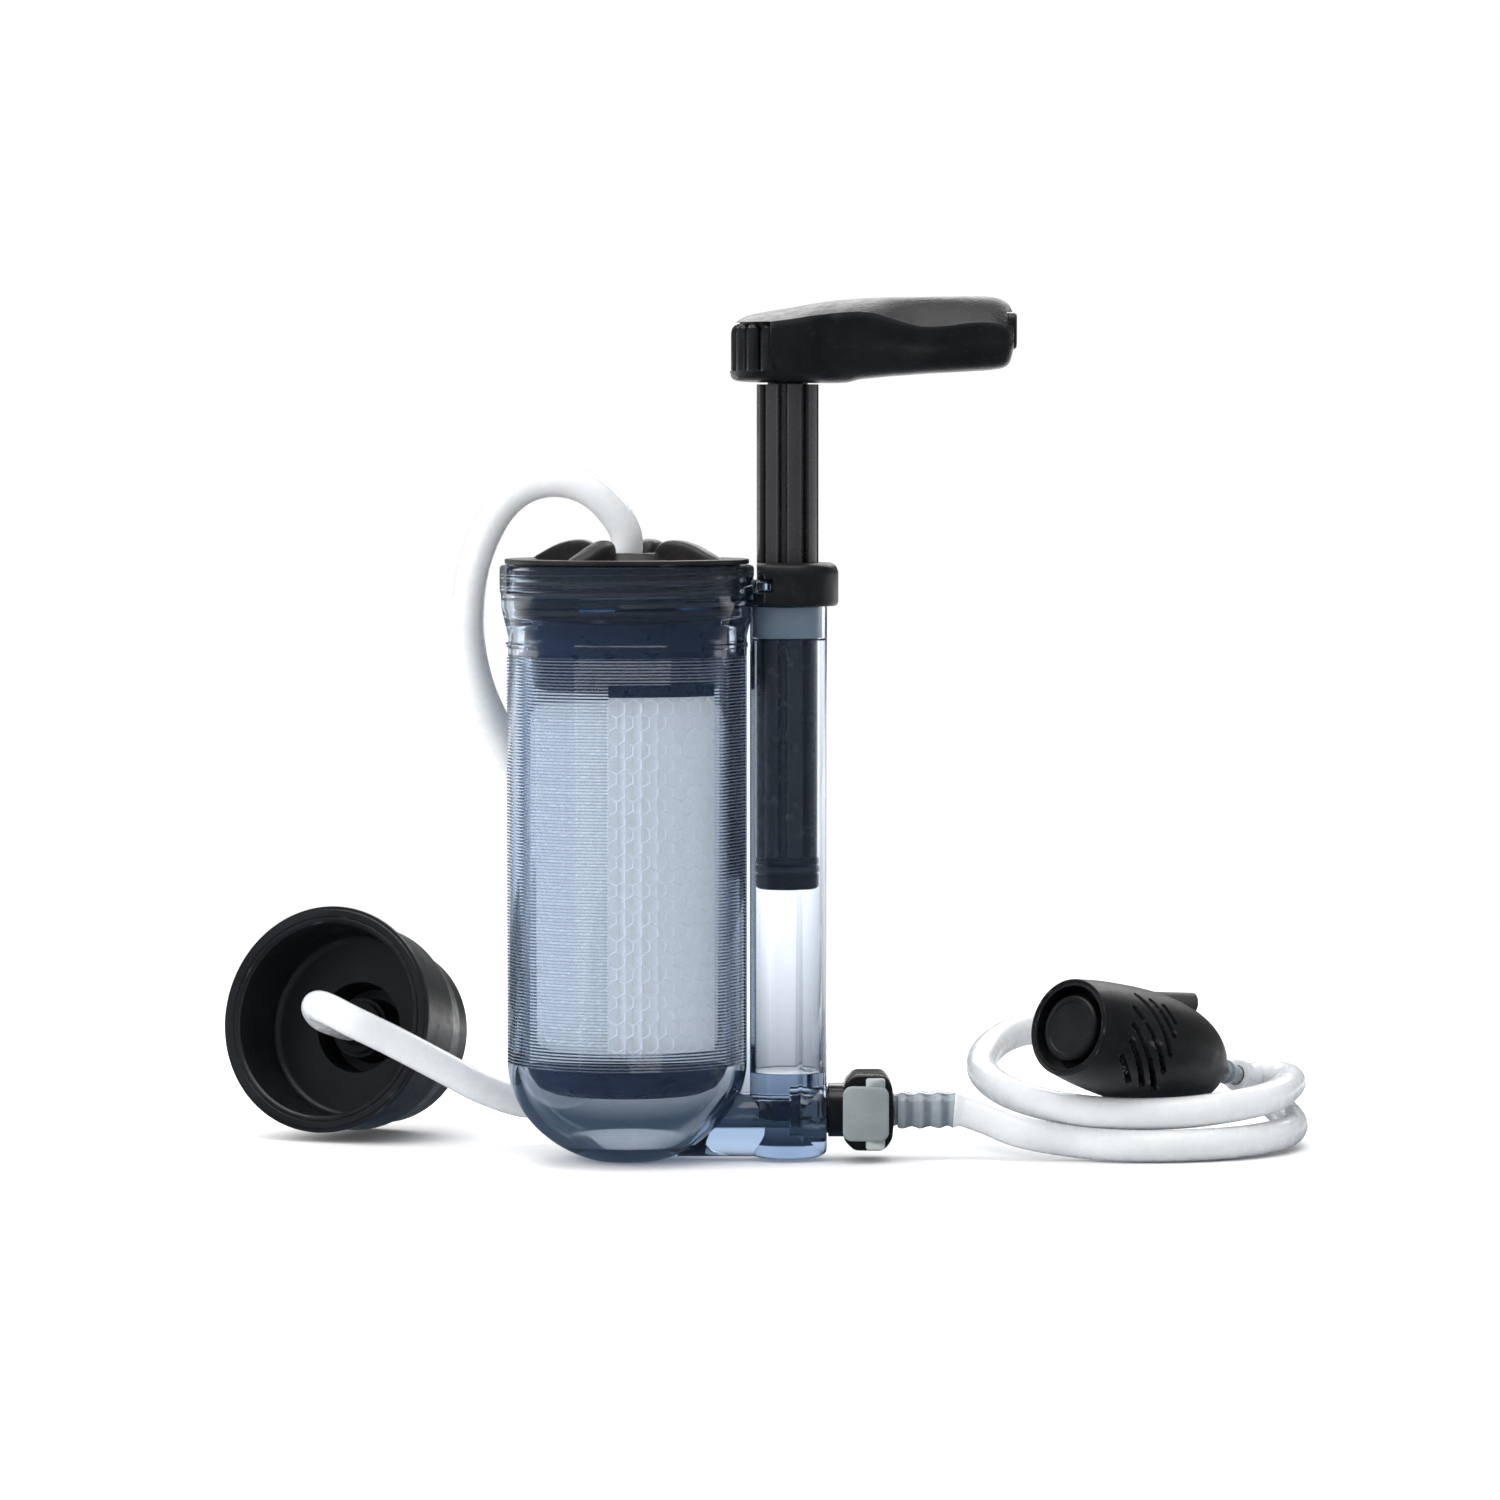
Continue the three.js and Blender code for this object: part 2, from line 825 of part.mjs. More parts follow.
// Cartridge: caps, pleats, net, carbon and core tube.
function cartridgeTopCap() {
  return lathe(
    [
      [2.2, 117.1],
      [23.4, 117.1],
      [23.7, 116.8],
      [23.7, 113.2],
      [24.5, 113.2],
      [24.5, 122],
      [23.9, 122.6],
      [6, 122.6],
      [5, 123.4],
      [5, 128.1],
      [3.9, 128.2],
      [3.9, 129.8],
      [5, 129.9],
      [5, 132.4],
      [4.4, 133],
      [2.2, 133],
    ],
    ROUND,
  );
}

function cartridgeBottomCap() {
  return lathe(
    [
      [0, 16.6],
      [18.6, 16.6],
      [21.6, 18],
      [23.5, 20.6],
      [23.7, 24.2],
      [22.9, 24.2],
      [22.7, 20.7],
      [0, 20.7],
    ],
    ROUND,
  );
}

function pleatedMedia() {
  const pleats = 40;
  const corners = [];
  for (let i = 0; i < 2 * pleats; i++) corners.push(polar(i % 2 ? 19 : 22.4, (Math.PI * i) / pleats));
  const outline = polygon(corners);
  outline.holes.push(circle(12.2, 24));
  return new THREE.ExtrudeGeometry(outline, { depth: 95.6, bevelEnabled: false }).translate(0, 0, 21);
}

function coreTube() {
  const holes = [];
  for (let row = 0; row < 3; row++) {
    const hole = disc(1.2, -8, 8, 6).rotateY(Math.PI / 2);
    holes.push(hole.rotateZ(row * 0.8).translate(0, 0, 40 + 27 * row));
  }
  return cut(tube(4.6, 3.6, 21, 116.7, SMALL), ...holes);
}

// Pump: collar, bush and wiper at the cylinder's top, then rod, piston and handle.
function pumpCollar() {
  const ring = lathe(
    [
      [7.75, 139.9],
      [9.8, 139.7],
      [9.8, 133.4],
      [11.6, 133.2],
      [12.2, 134],
      [12.2, 141.4],
      [11.6, 142.9],
      [10.4, 143.6],
      [8.3, 143.6],
      [7.75, 143.2],
    ],
    ROUND,
  );
  const flangeCut = box(20, 31.2, -14, 14, 130, 146).translate(-PUMP_X, 0, 0);
  const skirtCut = box(20, 32.8, -14, 14, 130, 140.8).translate(-PUMP_X, 0, 0);
  const lugSlot = box(30, 34.9, -14, 14, 136.6, 139.9).translate(-PUMP_X, 0, 0);
  return cut(ring, flangeCut, skirtCut, lugSlot);
}

// Fluted shaft: round lands with flat-bottomed grooves between them.
function flutedRod() {
  const flutes = 8;
  const grooveDepth = 1.7;
  const corners = [];
  for (let i = 0; i < flutes; i++) {
    const share = [
      [ROD_R, 0],
      [ROD_R, 0.2],
      [ROD_R, 0.4],
      [ROD_R, 0.58],
      [ROD_R - grooveDepth, 0.64],
      [ROD_R - grooveDepth, 0.94],
    ];
    share.forEach(([radius, part]) => corners.push(polar(radius, (2 * Math.PI * (i + part)) / flutes)));
  }
  const length = HANDLE_BOTTOM - CLEAR - ROD_BOTTOM;
  const shaft = new THREE.ExtrudeGeometry(polygon(corners), { depth: length, bevelEnabled: false });
  return shaft.translate(0, 0, ROD_BOTTOM);
}

function pistonRod() {
  const spigot = lathe(
    [
      [0, 185],
      [4.8, 185],
      [4.8, 196.2],
      [3.8, 196.3],
      [3.8, 198.2],
      [4.8, 198.3],
      [4.3, 200],
      [0, 200],
    ],
    SMALL,
  );
  const socket = disc(4.3, ROD_BOTTOM - 1, 82.5, SMALL);
  return cut(join(flutedRod(), spigot), socket);
}

function pistonHead() {
  return lathe(
    [
      [0, 65.3],
      [7, 65.3],
      [7.6, 65.9],
      [7.6, 68.6],
      [5.8, 68.7],
      [5.8, 71.2],
      [7.6, 71.3],
      [7.6, 72.4],
      [7.3, 72.7],
      [4, 72.7],
      [4, 81.5],
      [3.4, 82],
      [0, 82],
    ],
    ROUND,
  );
}

function handleClip() {
  const ring = tube(6.4, 4.1, 196.6, 197.9, SMALL);
  return cut(ring, box(-8, 0, -2.4, 2.4, 196, 199));
}

// Handle: side outline from the hub at the left to the end at the right, rounded hub in plan.
const HANDLE_OUTLINE = [
  [24.6, 189.9],
  [25, 187.6],
  [27.1, 186.9],
  [36, 186.6],
  [45.8, 186.5],
  [52.5, 186.5],
  [56, 187.4],
  [71.2, 188.7],
  [82.2, 189.3],
  [90.5, 190],
  [92.2, 191.4],
  [92.3, 199],
  [92.3, 203],
  [91.3, 205.3],
  [89.4, 206.5],
  [86.6, 207.3],
  [71.2, 207.1],
  [60.2, 206.9],
  [54.7, 206.6],
  [49.2, 206.1],
  [43.7, 205.3],
  [38.1, 204.3],
  [32.7, 203.2],
  [27.1, 201.2],
  [25, 197.5],
];

function handlePlan() {
  const corners = [];
  const steps = 10;
  for (let i = 0; i <= steps; i++) {
    const [x, y] = polar(HUB_R, Math.PI / 2 + (Math.PI * i) / steps);
    corners.push([PUMP_X + x, y]);
  }
  const side = [[50, 12.4], [62, 11.2], [76, 11], [88, 11.3], [92.3, 9]];
  side.forEach(([x, y]) => corners.push([x, -y]));
  side.reverse().forEach(([x, y]) => corners.push([x, y]));
  const plan = new THREE.ExtrudeGeometry(polygon(corners), { depth: 30, bevelEnabled: false });
  return plan.translate(0, 0, 182);
}

function handleBar() {
  const rounding = 4;
  return new THREE.ExtrudeGeometry(polygon(HANDLE_OUTLINE), {
    depth: 2 * (HUB_R - rounding),
    bevelThickness: rounding,
    bevelSize: rounding * 0.7,
    bevelOffset: -rounding * 0.7,
    bevelSegments: 3,
  })
    .rotateX(Math.PI / 2)
    .translate(0, HUB_R - rounding, 0);
}

function hubFlutes() {
  return [-60, -40, -20, 0, 20, 40, 60].map((degrees) => {
    const turn = Math.PI + THREE.MathUtils.degToRad(degrees);
    const groove = new THREE.CapsuleGeometry(1.5, 12, 2, 6).rotateX(Math.PI / 2);
    return groove.translate(PUMP_X + (HUB_R + 0.5) * Math.cos(turn), (HUB_R + 0.5) * Math.sin(turn), 190);
  });
}

const HUB_BORE = [
  [0, 185],
  [5.1, 185],
  [5.1, 195.6],
  [6.9, 195.8],
  [6.9, 198.4],
  [5.1, 198.6],
  [5.1, 201],
  [0, 201],
];

function handle() {
  const bar = keep(handleBar(), handlePlan());
  const bore = lathe(HUB_BORE, SMALL).translate(PUMP_X, 0, 0);
  const recess = box(90.4, 94, -7.6, 7.6, 193.6, 204.2);
  return cut(bar, bore, recess, ...hubFlutes());
}

function handleEndPlug() {
  const face = roundedRect(-7.3, 7.3, 193.9, 203.9, 2);
  return new THREE.ExtrudeGeometry(face, {
    depth: 2,
    curveSegments: 4,
    bevelThickness: 0.5,
    bevelSize: 0.5,
    bevelOffset: -0.5,
    bevelSegments: 2,
  })
    .rotateX(Math.PI / 2)
    .rotateZ(Math.PI / 2)
    .translate(HANDLE_END - 2.5, 0, 0);
}

// Assembly.
piece("filter_housing", housing(), CLEAR_BLUE);
piece("valve_carrier", valveCarrier(), NAVY);
piece("outlet_valve_disc", valveDisc(34.5), RUBBER);
piece("outlet_valve_stop", alongX(tube(3.8, 2.4, 31.6, 32.8, SMALL)), NAVY);
piece("inlet_valve_disc", valveDisc(45.6), RUBBER);

piece("coupling_body", couplingBody(), BLACK);
piece("latch_button", latchButton(), GREY);
piece("latch_spring", latchSpring(), STEEL);
piece("coupling_insert", couplingInsert(), BARB_GREY);
piece("insert_oring", alongX(torus(3.65, 0.5, 55.5, SMALL)), RUBBER);
piece("inlet_hose", inletHose(), MILKY);

const prefilter = prefilterFrame();
object.add(prefilter);
piece("prefilter_shell", prefilterShell(), BLACK, prefilter);
piece("prefilter_plug", prefilterPlug(), BLACK, prefilter);
piece("prefilter_screen", prefilterScreen(), STEEL, prefilter);
piece("prefilter_barb", prefilterBarb(), BARB_GREY, prefilter);
piece("prefilter_peg", prefilterPeg(), RUBBER, prefilter);

piece("lid", lid(), BLACK);
piece("lid_oring", torus(26.45, 0.85, 132.15, FINE), RUBBER);
piece("outlet_barb", outletBarb(), BLACK);
piece("outlet_hose", outletHose(), MILKY);

const adapter = adapterFrame();
object.add(adapter);
piece("bottle_adapter", bottleAdapter(), RUBBER, adapter);
piece("adapter_nipple", adapterNipple(), BLACK, adapter);

piece("cartridge_top_cap", cartridgeTopCap(), NAVY);
piece("cartridge_oring", torus(4.75, 0.6, 129, SMALL), RUBBER);
piece("cartridge_bottom_cap", cartridgeBottomCap(), NAVY);
piece("protector_net", tube(25.05, 24.35, 24.6, 112.8, ROUND), WHITE);
piece("pleated_media", pleatedMedia(), WHITE);
piece("carbon_core", tube(11.8, 5, 21, 116.7, ROUND), CARBON);
piece("core_tube", coreTube(), WHITE);

const pump = new THREE.Group();
pump.position.set(PUMP_X, 0, 0);
object.add(pump);
piece("pump_collar", pumpCollar(), BLACK, pump);
piece("rod_guide_bush", tube(8.4, 7.72, 125.5, 133, ROUND), FROSTED, pump);
piece("rod_wiper_seal", tube(8.4, 7.6, 133.4, 136.4, ROUND), RUBBER, pump);
piece("piston_rod", pistonRod(), BLACK, pump);
piece("piston_head", pistonHead(), BLACK, pump);
piece("piston_oring", torus(6.95, 0.93, 69.95, ROUND), RUBBER, pump);
piece("handle_clip", handleClip(), STEEL, pump);

piece("handle", handle(), BLACK);
piece("handle_end_plug", handleEndPlug(), BLACK);

export default object;
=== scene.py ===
"""Looks of a pump water filter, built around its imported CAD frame.

Shapes are given in millimetres in the row frame and scaled to metres when their meshes are made.
"""

import json
import math

import bmesh
import bpy
from mathutils import Matrix, Vector


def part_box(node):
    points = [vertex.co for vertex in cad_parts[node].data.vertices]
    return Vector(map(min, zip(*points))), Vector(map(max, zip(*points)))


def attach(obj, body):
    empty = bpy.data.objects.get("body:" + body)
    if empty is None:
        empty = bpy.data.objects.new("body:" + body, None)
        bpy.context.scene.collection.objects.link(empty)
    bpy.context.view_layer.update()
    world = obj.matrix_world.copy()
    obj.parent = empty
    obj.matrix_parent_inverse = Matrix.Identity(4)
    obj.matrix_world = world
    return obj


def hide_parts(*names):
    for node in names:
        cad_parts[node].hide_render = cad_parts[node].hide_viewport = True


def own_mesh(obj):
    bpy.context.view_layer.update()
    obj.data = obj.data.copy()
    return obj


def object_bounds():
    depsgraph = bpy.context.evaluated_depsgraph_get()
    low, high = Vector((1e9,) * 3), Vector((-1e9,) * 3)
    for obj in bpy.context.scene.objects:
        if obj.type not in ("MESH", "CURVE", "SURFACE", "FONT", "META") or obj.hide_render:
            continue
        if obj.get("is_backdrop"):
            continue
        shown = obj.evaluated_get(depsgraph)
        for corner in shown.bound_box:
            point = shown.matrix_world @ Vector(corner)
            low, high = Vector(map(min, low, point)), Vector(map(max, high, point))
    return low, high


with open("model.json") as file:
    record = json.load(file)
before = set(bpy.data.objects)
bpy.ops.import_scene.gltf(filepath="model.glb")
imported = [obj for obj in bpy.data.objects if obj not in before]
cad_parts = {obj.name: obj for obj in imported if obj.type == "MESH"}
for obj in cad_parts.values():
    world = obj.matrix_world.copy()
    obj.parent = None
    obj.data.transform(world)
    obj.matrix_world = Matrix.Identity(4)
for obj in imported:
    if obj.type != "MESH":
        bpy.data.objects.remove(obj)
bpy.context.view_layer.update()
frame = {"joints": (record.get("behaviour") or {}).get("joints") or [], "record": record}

MM = 0.001
FINE = 144  # segments round the housing, the lid and the adapter
ROUND = 72  # segments round mid-size turned pieces
CORNER_STEPS = 4
SMALL_TURN = math.radians(14)  # corners that turn less than this stay as they are

# Driving sizes.
BODY_R = 28.9
RIM_R = 30.5
RIM_TOP = 143
DOME_Z = 24.2  # height where the round bottom meets the straight wall
RIB_LOW = 23.8
RIB_HIGH = 121.4
RIB_PITCH = 0.775
RIB_DEPTH = 0.26
RIB_STEPS = 4
WINDOW = {"turns": (math.radians(-97.6), math.radians(-43.1)), "z": (28.3, 115.4)}  # no ribs here
THREAD_PITCH = 2.64
LUGS = (31.2, 34.6, -10.9, 10.9, 137, 139.2)  # box of the two lugs that hold the pump's collar
PORT_X = 43.6  # where the pump cylinder opens into the valve block
PUMP_R = 9.5
PUMP_BORE = 8
PUMP_FLOOR = 21.1
PUMP_TOP = 139.4
BUSH_R = 8.4
BUSH_Z = 125.2
ROD_R = 7.4
ROD_LOW = 73
ROD_HIGH = 186.2
ROD_FLUTES = 8
HUB_R = 13.9
FINGERS = 8  # upright bars round the hub
FINGER_STEP = math.radians(19)
HOSE_R = 3.85
HOSE_BORE = 2.5
SLEEVE_START = 65  # where the inlet hose starts on the coupling's barb
SLEEVE_END = 78.4  # where its outside stops following the barb's ridges
BARB_ROOM = 3.75  # radius inside the hose round that barb
BARB_END = 78.6  # where that room ends and the hose's own bore begins
BARB_RIDGES = 3
RIDGE_PITCH = 4.3
COIL = {"x": 124.5, "y": 30.5, "radius": 38}

JOINTS = {joint["name"]: joint for joint in frame["joints"]}


def middle(node):
    """Middle of a CAD node's box, in millimetres."""
    low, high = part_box(node)
    return (low + high) / 2 / MM


PUMP_X = middle("piston_head").x
VALVE_Z = middle("coupling_insert").z
Z_TO_X = Matrix.Rotation(math.pi / 2, 4, "Y")
Z_TO_FRONT = Matrix.Rotation(math.pi / 2, 4, "X")
SECTION_TO_X = Matrix(((0, 0, 1, 0), (1, 0, 0, 0), (0, 1, 0, 0), (0, 0, 0, 1)))


def shift(x, y, z):
    return Matrix.Translation((x, y, z))


ALONG_X = shift(0, 0, VALVE_Z) @ Z_TO_X
AT_PUMP = shift(PUMP_X, 0, 0)


def facing(origin, direction):
    """Matrix that takes +Z at the origin to a direction at another point."""
    turn = Vector((0, 0, 1)).rotation_difference(Vector(direction))
    return Matrix.Translation(origin) @ turn.to_matrix().to_4x4()


ADAPTER_CENTRE = Vector(JOINTS["adapter_turn"]["pos_m"]) / MM
ADAPTER_AXIS = Vector(JOINTS["adapter_turn"]["axis"]).normalized()
AT_ADAPTER = facing(ADAPTER_CENTRE, ADAPTER_AXIS)

SCREEN_MIDDLE = 29.1  # height of the screen's middle above the prefilter's tail
PREFILTER_AXIS = Vector(JOINTS["prefilter_pull"]["axis"]).normalized()
PREFILTER_TAIL = middle("prefilter_screen") - SCREEN_MIDDLE * PREFILTER_AXIS
AT_PREFILTER = facing(PREFILTER_TAIL, PREFILTER_AXIS)


# Mesh tools.
def linked(data, name="part"):
    """Object in the scene; a finished piece gets its name from show()."""
    obj = bpy.data.objects.new(name, data)
    bpy.context.scene.collection.objects.link(obj)
    return obj


def new_object(points, faces):
    mesh = bpy.data.meshes.new("part")
    mesh.from_pydata([[c * MM for c in point] for point in points], [], faces)
    bm = bmesh.new()
    bm.from_mesh(mesh)
    bmesh.ops.recalc_face_normals(bm, faces=bm.faces)
    bm.to_mesh(mesh)
    bm.free()
    return linked(mesh)


def loft(rings, closed=False):
    """Skin over rings of points. A ring of one point is a tip; open ends are capped."""
    points = []
    starts = []
    for ring in rings:
        starts.append(len(points))
        points.extend(ring)
    pairs = [(k, k + 1) for k in range(len(rings) - 1)]
    if closed:
        pairs.append((len(rings) - 1, 0))
    faces = []
    for a, b in pairs:
        count = max(len(rings[a]), len(rings[b]))
        for i in range(count):
            j = (i + 1) % count
            low = [starts[a] + n % len(rings[a]) for n in (i, j)]
            high = [starts[b] + n % len(rings[b]) for n in (j, i)]
            faces.append(list(dict.fromkeys(low + high)))
    if not closed:
        for ring, start in ((rings[0], starts[0]), (rings[-1], starts[-1])):
            if len(ring) > 1:
                faces.append([start + i for i in range(len(ring))])
    return new_object(points, faces)


def polar(radius, turn, z=None):
    flat = (radius * math.cos(turn), radius * math.sin(turn))
    return flat if z is None else (*flat, z)


def turns(count):
    return [2 * math.pi * i / count for i in range(count)]


def softened(profile, radius, closed):
    """The profile with each of its corners rounded."""
    count = len(profile)
    result = []
    for i, point in enumerate(profile):
        here = Vector(point)
        at_end = not closed and i in (0, count - 1)
        before = Vector(profile[i - 1]) - here
        after = Vector(profile[(i + 1) % count]) - here
        if at_end or before.angle(-after) < SMALL_TURN:
            result.append(tuple(here))
            continue
        reach = min(radius, 0.42 * before.length, 0.42 * after.length)
        start = here + before.normalized() * reach
        end = here + after.normalized() * reach
        for k in range(CORNER_STEPS + 1):
            t = k / CORNER_STEPS
            result.append(tuple(start.lerp(here, t).lerp(here.lerp(end, t), t)))
    return result


def lathe(profile, segments=ROUND, soften=0.25):
    """Turned solid from (radius, height) points, closed through the axis or on itself."""
    closed = profile[0][0] != 0
    rings = []
    for radius, z in softened(profile, soften, closed):
        if radius < 1e-6:
            rings.append([(0, 0, z)])
        else:
            rings.append([polar(radius, turn, z) for turn in turns(segments)])
    return loft(rings, closed)


def disc(radius, low, high, segments=ROUND, soften=0.0):
    profile = [(0, low), (radius, low), (radius, high), (0, high)]
    return lathe(profile, segments, soften)


def tube(outer, inner, low, high, segments=ROUND, soften=0.2):
    profile = [(inner, low), (outer, low), (outer, high), (inner, high)]
    return lathe(profile, segments, soften)


def torus(radius, section, z, segments=ROUND):
    around = [(radius + section * math.cos(t), z + section * math.sin(t)) for t in turns(16)]
    return lathe(around, segments, 0)


def prism(outline, low, high):
    """Flat outline of (x, y) points made solid from z low to z high."""
    return loft([[(x, y, z) for x, y in outline] for z in (low, high)])


def block(x0, x1, y0, y1, z0, z1):
    return prism([(x0, y0), (x1, y0), (x1, y1), (x0, y1)], z0, z1)


def rounded_rect(x0, x1, y0, y1, radius, steps=6):
    outline = []
    corners = [(x1, y1, 0), (x0, y1, 1), (x0, y0, 2), (x1, y0, 3)]
    for x, y, quarter in corners:
        cx = min(max(x, x0 + radius), x1 - radius)
        cy = min(max(y, y0 + radius), y1 - radius)
        for k in range(steps + 1):
            dx, dy = polar(radius, (quarter + k / steps) * math.pi / 2)
            outline.append((cx + dx, cy + dy))
    return outline


def placed(obj, matrix):
    """Moves the mesh by a matrix given in millimetres."""
    scaled = matrix.copy()
    scaled.translation = matrix.translation * MM
    obj.data.transform(scaled)
    return obj


def apply_modifiers(obj):
    bpy.context.view_layer.update()
    graph = bpy.context.evaluated_depsgraph_get()
    mesh = bpy.data.meshes.new_from_object(obj.evaluated_get(graph))
    obj.modifiers.clear()
    obj.data = mesh
    return obj


def combine(target, operation, tools):
    for tool in tools:
        modifier = target.modifiers.new("combine", "BOOLEAN")
        modifier.operation = operation
        modifier.solver = "MANIFOLD"
        modifier.object = tool
    apply_modifiers(target)
    for tool in tools:
        bpy.data.objects.remove(tool)
    return target


def join(target, *tools):
    return combine(target, "UNION", tools)


def cut(target, *tools):
    return combine(target, "DIFFERENCE", tools)


def bevelled(obj, width, segments=3, angle=40):
    modifier = obj.modifiers.new("bevel", "BEVEL")
    modifier.width = width * MM
    modifier.segments = segments
    modifier.limit_method = "ANGLE"
    modifier.angle_limit = math.radians(angle)
    return apply_modifiers(obj)


def wired(obj, thickness):
    """Turns the mesh's edges into wires."""
    modifier = obj.modifiers.new("wires", "WIREFRAME")
    modifier.thickness = thickness * MM
    modifier.use_even_offset = False
    return apply_modifiers(obj)


def curve_through(points, spacing=1.0):
    """Centripetal Catmull-Rom curve through the points, as a list of close points."""
    knots = [Vector(p) for p in points]
    knots = [2 * knots[0] - knots[1], *knots, 2 * knots[-1] - knots[-2]]
    result = []
    for p0, p1, p2, p3 in zip(knots, knots[1:], knots[2:], knots[3:]):
        t1 = math.sqrt((p1 - p0).length)
        t2 = t1 + math.sqrt((p2 - p1).length)
        t3 = t2 + math.sqrt((p3 - p2).length)
        steps = max(2, round((p2 - p1).length / spacing))
        for k in range(steps):
            t = t1 + (t2 - t1) * k / steps
            a1 = p0.lerp(p1, t / t1)
            a2 = p1.lerp(p2, (t - t1) / (t2 - t1))
            a3 = p2.lerp(p3, (t - t2) / (t3 - t2))
            b1 = a1.lerp(a2, t / t2)
            b2 = a2.lerp(a3, (t - t1) / (t3 - t1))
            result.append(b1.lerp(b2, (t - t1) / (t2 - t1)))
    result.append(knots[-2])
    return result


def rings_along(path, radius_at, sides):
    """Rings square to a path, with no twist. radius_at gives the radius at a point's number."""
    normal = Vector((0.3, 0.2, 1)).normalized()
    rings = []
    for i, point in enumerate(path):
        ahead = path[min(i + 1, len(path) - 1)] - path[max(i - 1, 0)]
        tangent = ahead.normalized()
        normal = (normal - tangent * normal.dot(tangent)).normalized()
        side = tangent.cross(normal)
        radius = radius_at(i)
        rings.append(
            [tuple(point + radius * (math.cos(t) * normal + math.sin(t) * side)) for t in turns(sides)]
        )
    return rings


def hose(path, radius_at, bore_at, sides=28):
    """Hollow hose: the outside from start to end, then the bore back again."""
    outside = rings_along(path, radius_at, sides)
    inside = rings_along(path, bore_at, sides)
    return loft(outside + inside[::-1], closed=True)


def helix(radius, section, pitch, low, turn0, length, sides=8, per_turn=60):
    steps = round(length * per_turn)
    path = []
    for i in range(steps + 1):
        share = length * i / steps
        path.append(Vector(polar(radius, turn0 + 2 * math.pi * share, low + pitch * share)))
    return loft(rings_along(path, lambda i: section, sides))


def dome(radius, height, flat_z, centre_z, steps=28):
    """Half-ellipse of a round bottom, from its flat up to the straight wall."""
    start = math.asin((centre_z - flat_z) / height)
    result = []
    for i in range(steps + 1):
        angle = start * (1 - i / steps)
        result.append((radius * math.cos(angle), centre_z - height * math.sin(angle)))
    return result


# Node materials.
class Nodes:
    """Fills the node tree of a material or a world."""

    def __init__(self, owner):
        owner.use_nodes = True
        self.owner = owner
        self.tree = owner.node_tree
        self.tree.nodes.clear()

    def add(self, kind, inputs=None, **settings):
        """Adds a node; its inputs are plain values or other nodes' outputs."""
        node = self.tree.nodes.new("ShaderNode" + kind)
        for key, value in settings.items():
            setattr(node, key, value)
        for key, value in (inputs or {}).items():
            socket = node.inputs[key]
            if isinstance(value, bpy.types.NodeSocket):
                self.tree.links.new(value, socket)
            else:
                socket.default_value = value
        return node

    def blend(self, factor, first, second):
        return self.add("MixShader", {0: factor, 1: first, 2: second}).outputs[0]


class Look(Nodes):
    """Builds one node material. Texture scales are per metre."""

    def __init__(self, name):
        super().__init__(bpy.data.materials.new(name))
        self.output = self.add("OutputMaterial")
        self.place = self.add("TexCoord").outputs["Object"]

    def noise(self, scale, detail=3.0, roughness=0.55, stretch=(1, 1, 1)):
        mapping = self.add("Mapping", {"Vector": self.place, "Scale": stretch})
        inputs = {"Vector": mapping.outputs[0], "Scale": scale, "Detail": detail, "Roughness": roughness}
        return self.add("TexNoise", inputs).outputs[0]

    def cells(self, scale):
        return self.add("TexVoronoi", {"Vector": self.place, "Scale": scale}).outputs["Distance"]

    def ramp(self, factor, low, high, start=0.3, end=0.7):
        node = self.add("ValToRGB", {"Fac": factor})
        stops = node.color_ramp.elements
        stops[0].position = start
        stops[0].color = (*low, 1)
        stops[1].position = end
        stops[1].color = (*high, 1)
        return node.outputs[0]

    def value(self, factor, low, high, start=0.3, end=0.7):
        inputs = {"Value": factor, "From Min": start, "From Max": end, "To Min": low, "To Max": high}
        return self.add("MapRange", inputs).outputs[0]

    def mix(self, factor, first, second):
        node = self.add("Mix", {"Factor": factor}, data_type="RGBA")
        for key, value in ((6, first), (7, second)):
            if isinstance(value, bpy.types.NodeSocket):
                self.tree.links.new(value, node.inputs[key])
            else:
                node.inputs[key].default_value = (*value, 1)
        return node.outputs[2]

    def bump(self, height, distance, strength=1.0, normal=None):
        inputs = {"Height": height, "Distance": distance * MM, "Strength": strength}
        if normal:
            inputs["Normal"] = normal
        return self.add("Bump", inputs).outputs[0]

    def edges(self, low=0.53, high=0.62):
        """1 on convex edges, 0 elsewhere."""
        sharp = self.add("NewGeometry").outputs["Pointiness"]
        return self.value(sharp, 0, 1, low, high)

    def math(self, operation, first, second=0.0):
        return self.add("Math", {0: first, 1: second}, operation=operation).outputs[0]

    def axis(self, name):
        return self.add("SeparateXYZ", {"Vector": self.place}).outputs[name]

    def surface(self, shader):
        """Links the shader to the material's surface and gives the material back."""
        self.tree.links.new(shader, self.output.inputs["Surface"])
        return self.owner

    def principled(self, **inputs):
        named = {key.replace("_", " "): value for key, value in inputs.items()}
        return self.add("BsdfPrincipled", named).outputs[0]

    def glow(self, colour, strength):
        return self.add("Emission", {"Color": (*colour, 1), "Strength": strength}).outputs[0]

    def finish(self, **inputs):
        """The material with one principled shader as its whole surface."""
        return self.surface(self.principled(**inputs))


